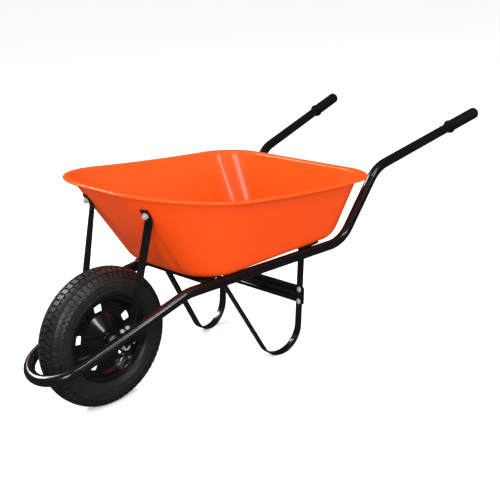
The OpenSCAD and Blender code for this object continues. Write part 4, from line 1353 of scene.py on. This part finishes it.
class BARROW_OT_tyre(bpy.types.Operator):
    """Moulds the tyre with its tread blocks and sidewall rings"""

    bl_idname = "barrow.tyre"
    bl_label = "Tyre"

    def execute(self, context):
        s = S()
        d = s.tread_depth
        half = []
        for a in range(90, 19, -5):
            half.append(tyre_point(a, d if a > 30 else d * (a - 18) / 12))
        for a, inset in (
            (17, 0.0), (14, 0.0), (12, 0.9), (10, 0.9), (8, 0.1), (4, 0), (0, 0), (-3, 0), (-5, 0.8),
            (-7, 0.8), (-9, 0), (-14, 0), (-20, 0), (-26, 0.1), (-31, 0.7), (-34, 0.3), (-38, 0)
        ):
            half.append(tyre_point(a, inset))
        flange = s.rim_w / 2
        half += [(s.rim_r - 1, flange - 5.5), (s.rim_r - 8, flange - 9)]
        bead = half[-1]
        inner = [(bead[0], 12), (s.rim_r + 4, 13)]
        inner += [
            (tyre_point(a)[0] - 7 if a > 0 else tyre_point(a)[0] + 3, tyre_point(a)[1] * 0.8)
            for a in (-20, 0, 20, 45, 70)
        ]
        profile = half + inner
        profile = profile + [(r, -y) for r, y in reversed(profile)]
        made = Shape().add(lathe(profile, 144), wheel_place())
        count = s.tread_blocks
        pitch = math.tau / count
        for side in SIDES:
            flip = wheel_place() @ (turn("X", math.pi) if side < 0 else Matrix())
            middle = tread_block([78, 72, 66, 60, 55], 13, pitch * 0.68, pitch * 0.3, d)
            made.add(repeated(middle, count, pitch * (0.25 if side > 0 else 0.75)), flip)
            outer = tread_block([51, 46, 40, 34, 28], 25, pitch * 0.62, pitch * 0.15, d)
            made.add(repeated(outer, count, 0.0 if side > 0 else pitch / 2), flip)
            lug = tread_block([24, 21, 18.5], 38, pitch * 0.4, 0.0, 1.2)
            made.add(repeated(lug, count, pitch * (0.7 if side > 0 else 0.2)), flip)
            rib = tread_block([89.4, 86, 82], 1, pitch * 0.72, -pitch * 0.9, d)
            made.add(repeated(rib, count, 0.0 if side > 0 else pitch / 2), flip)
        made.finish("tyre_moulded", "wheel", ["tyre"], "tyre", 32)
        return {"FINISHED"}


def rim_line():
    """Middle of the rim's sheet, as [radius, distance from the middle plane], from the flange to the hub."""
    s = S()
    seat, f = s.rim_r - SEAT_DROP, s.rim_w / 2
    web = seat - WEB_DROP
    mid = s.rim_t / 2 + TOUCH
    corners = [
        (s.rim_r, f - 1), (s.rim_r - 1, f - 3.5), (s.rim_r - 5, f - 4.5), (seat, f - 6.5),
        (seat - 1, f - 20), (web + 3, 5), (web, mid)
    ]
    tail = [
        (62, mid), (54, 6), (s.hub_r + 9, 24), (s.hub_r + 0.05 + s.rim_t / 2, 27),
        (s.hub_r + 0.05 + s.rim_t / 2, 33)
    ]
    return corners, tail, web, mid


def window_outline(i):
    """One window of the disc, in the disc's plane."""
    s = S()
    a = FIRST_WINDOW + math.tau * i / s.windows
    out = []
    for x, y in round_rect(20, 23, 5, 6):
        out.append(
            Vector(
                (
                    math.cos(a) * (WINDOW_RING + x) - math.sin(a) * y,
                    math.sin(a) * (WINDOW_RING + x) + math.cos(a) * y, 0
                )
            )
        )
    return out


class BARROW_OT_rim(bpy.types.Operator):
    """Presses the two rim halves with their windows and rivets them"""

    bl_idname = "barrow.rim"
    bl_label = "Rim"

    def execute(self, context):
        s = S()
        flange, dish, web, mid = rim_line()
        steps = 144
        for side, name in zip(SIDES, ("left", "right")):
            made = Shape()
            base = on_axle(side, 0)
            made.add(lathe(sheet_profile(softened(flange, 2.5), s.rim_t), steps), base)
            made.add(lathe(sheet_profile(softened(dish, 6), s.rim_t), steps), base)
            disc = bmesh.new()
            loops = []
            for r in (web + 0.4, 61.0):
                loops += ring(disc, [Vector((x, y, 0)) for x, y in circle_points(r, steps)])[1]
            for i in range(s.windows):
                loops += ring(disc, [Vector((p.x, p.y * -side, 0)) for p in window_outline(i)])[1]
            bmesh.ops.triangle_fill(disc, use_beauty=True, use_dissolve=False, edges=loops)
            thicken(disc, s.rim_t)
            made.add(disc, base @ move(0, 0, TOUCH))
            made.finish("rim_pressed_" + name, "wheel", ["rim_half_" + name], "rim_paint")
        rivets = Shape()
        gap = mid + s.rim_t / 2 + TOUCH
        for i in range(s.windows):
            a = FIRST_WINDOW + math.tau * (i + 0.5) / s.windows
            place = move(
                WINDOW_RING * math.cos(a), 0, s.tyre_r + WINDOW_RING * math.sin(a)
            ) @ turn("X", math.pi / 2)
            half = [(6, gap), (5.8, gap + 0.9), (4.8, gap + 1.8), (3, gap + 2.3), (0, gap + 2.4)]
            profile = [(r, -z) for r, z in reversed(half)] + [(3, -gap), (3, gap)] + half
            rivets.add(lathe(profile, 32, closed=False), place)
        rivets.finish("rim_rivet_set", "wheel", ["rim_rivets"], "rim_paint")
        return {"FINISHED"}


class BARROW_OT_hub(bpy.types.Operator):
    """Turns the hub tube and its two bushes"""

    bl_idname = "barrow.hub"
    bl_label = "Hub"

    def execute(self, context):
        s = S()
        tube = lathe([(s.hub_r - 3, -s.hub_half), (s.hub_r - 0.6, -s.hub_half), (s.hub_r, -s.hub_half + 0.6),
                      (s.hub_r, s.hub_half - 0.6), (s.hub_r - 0.6, s.hub_half), (s.hub_r - 3, s.hub_half)], 64)
        Shape().add(tube, on_axle(1, 0)).finish("hub_tube_turned", "wheel", ["hub_tube"], "rim_paint")
        bore = s.axle_r + 0.05
        for side, name in zip(SIDES, ("left", "right")):
            part = lathe([(bore, -22), (s.hub_r - 3.02, -22), (s.hub_r - 3.02, TOUCH), (s.hub_r - 0.5, TOUCH),
                          (s.hub_r, 0.5), (s.hub_r, 2.4), (s.hub_r - 0.6, 3), (bore + 0.5, 3), (bore, 2.5)], 64)
            Shape().add(part, on_axle(side, s.hub_half)).finish(
                "bush_" + name, "wheel", ["hub_bush_" + name], "nylon"
            )
        return {"FINISHED"}


class BARROW_OT_valve(bpy.types.Operator):
    """Moulds the tyre valve and its cap"""

    bl_idname = "barrow.valve"
    bl_label = "Valve"

    def execute(self, context):
        s = S()
        seat = s.rim_r - SEAT_DROP
        wall = ((seat - WEB_DROP + 3 + seat - 1) / 2, -(5 + s.rim_w / 2 - 20) / 2)
        tilt = math.radians(35)
        back = (s.rim_r + 0.5 - wall[0]) / math.cos(tilt)
        place = move(0, 0, s.tyre_r) @ turn("Y", -math.radians(200)) @ move(wall[0], wall[1], 0)
        place = place @ turn("Y", -math.pi / 2) @ turn("X", tilt) @ move(0, 0, -back)
        stem = [(0, 0), (4, 0), (4, 24), (4, 27), (3.6, 28), (3.6, 41), (3.2, 43), (2.6, 44)]
        z = 44.4
        while z < 49:
            stem += [(2.6, z), (2.2, z + 0.4)]
            z += 0.8
        stem += [(2.0, 50), (0, 50)]
        Shape().add(lathe(stem, 32, closed=False), place).finish(
            "valve_moulded", "wheel", ["valve_stem"], "inner_rubber"
        )
        part = bmesh.new()
        wavy = [(4.2 - 0.35 * (i % 2)) for i in range(32)]
        points = [
            Vector((r * math.cos(math.tau * i / 32), r * math.sin(math.tau * i / 32), 0))
            for i, r in enumerate(wavy)
        ]
        _, loop = ring(part, points)
        bmesh.ops.contextual_create(part, geom=loop)
        for z, k in ((10.2, 1.0), (11.4, 0.85), (12.0, 0.5)):
            loop, verts = pull(part, loop)
            for v in verts:
                flat = Vector((v.co.x, v.co.y)).normalized() * 4.0 * k
                v.co = (flat.x, flat.y, z) if k < 1 else (v.co.x, v.co.y, z)
        bmesh.ops.contextual_create(part, geom=loop)
        Shape().add(part, place @ move(0, 0, 44 + TOUCH)).finish(
            "valve_cap_ribbed", "wheel", ["valve_cap"], "cap"
        )
        return {"FINISHED"}


class BARROW_OT_inner_tube(bpy.types.Operator):
    """Gives the inner tube its rubber"""

    bl_idname = "barrow.inner_tube"
    bl_label = "Inner tube"

    def execute(self, context):
        node = frame["nodes"]["inner_tube"]
        node.data.materials.clear()
        node.data.materials.append(finish_for("inner_rubber"))
        return {"FINISHED"}


# ---------------------------------------------------------------- the studio
class BARROW_OT_stage(bpy.types.Operator):
    """Sets the floor, the lights and the camera"""

    bl_idname = "barrow.stage"
    bl_label = "Studio"

    def execute(self, context):
        scene = context.scene
        part = bmesh.new()
        bmesh.ops.create_grid(part, x_segments=2, y_segments=2, size=40.0)
        mesh = bpy.data.meshes.new("studio_floor")
        part.to_mesh(mesh)
        part.free()
        floor = bpy.data.objects.new("studio_floor", mesh)
        scene.collection.objects.link(floor)
        made, tree, shader, where = new_finish("studio_floor")
        cloud = spread(tree, noise(tree, where, 0.6, 2.0), 0.3, 0.7, 0.0, 1.0)
        seen = mix_colour(tree, cloud, C("floor"), shade(C("floor"), 0.99))
        ray = tree.nodes.new("ShaderNodeLightPath").outputs
        bounced = mix_colour(tree, ray["Is Glossy Ray"], (0.4, 0.4, 0.4, 1), (0.03, 0.03, 0.031, 1))
        tree.links.new(mix_colour(tree, ray["Is Camera Ray"], bounced, seen), shader.inputs["Base Color"])
        tree.links.new(
            mix_colour(tree, ray["Is Camera Ray"], (0, 0, 0, 1), (1, 1, 1, 1)),
            shader.inputs["Emission Color"]
        )
        shader.inputs["Emission Strength"].default_value = 0.22
        shader.inputs["Roughness"].default_value = 0.9
        shader.inputs["Specular IOR Level"].default_value = 0.1
        mesh.materials.append(made)
        self.light("key", (-2.6, -3.4, 3.6), 1.3, 0.8, 44, False)
        self.light("low_fill", (-2.6, -3.6, 0.9), 2.4, 1.2, 34, False)
        self.light("tube_strip", (-0.85, -1.55, 3.0), 1.8, 0.16, 26)
        self.light("side_strip", (-0.3, -3.3, 2.3), 0.5, 1.1, 24)
        self.light("front_strip", (-3.0, -1.9, 1.8), 0.8, 1.2, 42)
        self.light("fill", (2.6, -3.6, 1.8), 1.6, 1.2, 26, False)
        self.light("back", (-1.45, 2.85, 2.8), 2.0, 0.9, 150)
        self.sky(scene)
        scene.view_settings.view_transform = "Standard"
        self.camera(scene)
        return {"FINISHED"}

    def sky(self, scene):
        """White behind the barrow, even light on it and little to mirror in its paint."""
        world = bpy.data.worlds.new("studio")
        world.use_nodes = True
        tree = world.node_tree
        back = tree.nodes["Background"]
        ray = tree.nodes.new("ShaderNodeLightPath").outputs
        lit = mix_colour(tree, ray["Is Glossy Ray"], (0.84, 0.84, 0.84, 1), (0.022, 0.022, 0.023, 1))
        tree.links.new(mix_colour(tree, ray["Is Camera Ray"], lit, (1, 1, 1, 1)), back.inputs["Color"])
        scene.world = world

    def light(self, name, at, size, size_y, power, mirrored=True):
        lamp = bpy.data.lights.new(name, "AREA")
        lamp.shape = "RECTANGLE"
        lamp.size = size
        lamp.size_y = size_y
        lamp.energy = power
        obj = bpy.data.objects.new(name, lamp)
        obj.location = at
        obj.rotation_euler = (Vector((-0.1, 0, 0.3)) - Vector(at)).to_track_quat("-Z", "Y").to_euler()
        obj.visible_glossy = mirrored
        bpy.context.scene.collection.objects.link(obj)

    def camera(self, scene):
        yaw, pitch, roll = math.radians(46.7), math.radians(18.2), math.radians(-1.0)
        ahead = Vector((math.sin(yaw) * math.cos(pitch), math.cos(yaw) * math.cos(pitch), -math.sin(pitch)))
        right = Vector((math.cos(yaw), -math.sin(yaw), 0))
        up = right.cross(ahead)
        right, up = right * math.cos(
            roll
        ) + up * math.sin(roll), up * math.cos(roll) - right * math.sin(roll)
        data = bpy.data.cameras.new("camera")
        data.lens = 61.03
        data.sensor_width = 36.0
        data.clip_end = 100.0
        cam = bpy.data.objects.new("camera", data)
        cam.matrix_world = columns(right, up, -ahead, Vector((AXLE.x - 1.1699, -1.6136, 1.0459)))
        scene.collection.objects.link(cam)
        scene.camera = cam


class BARROW_PT_panel(bpy.types.Panel):
    """Lists the wheelbarrow's operators and values"""

    bl_label = "Wheelbarrow"
    bl_idname = "BARROW_PT_panel"
    bl_space_type = "VIEW_3D"
    bl_region_type = "UI"
    bl_category = "Barrow"

    def draw(self, context):
        for op in OPERATORS:
            self.layout.operator(op.bl_idname)
        for group_name in ("barrow_sizes", "barrow_colours"):
            values = getattr(context.scene, group_name)
            box = self.layout.box()
            for key in values.__annotations__:
                box.prop(values, key)


OPERATORS = (
    BARROW_OT_frame, BARROW_OT_grips, BARROW_OT_tub, BARROW_OT_plates, BARROW_OT_struts, BARROW_OT_legs,
    BARROW_OT_brackets, BARROW_OT_axle, BARROW_OT_fasteners, BARROW_OT_tyre, BARROW_OT_rim, BARROW_OT_hub,
    BARROW_OT_valve, BARROW_OT_inner_tube, BARROW_OT_stage,
)
CLASSES = (BarrowSizes, BarrowColours) + OPERATORS + (BARROW_PT_panel,)


def register():
    for cls in CLASSES:
        bpy.utils.register_class(cls)
    bpy.types.Scene.barrow_sizes = bpy.props.PointerProperty(type=BarrowSizes)
    bpy.types.Scene.barrow_colours = bpy.props.PointerProperty(type=BarrowColours)


def unregister():
    del bpy.types.Scene.barrow_sizes
    del bpy.types.Scene.barrow_colours
    for cls in reversed(CLASSES):
        bpy.utils.unregister_class(cls)


def main():
    register()
    for op in OPERATORS:
        family, name = op.bl_idname.split(".")
        getattr(getattr(bpy.ops, family), name)()


if __name__ == "__main__":
    main()
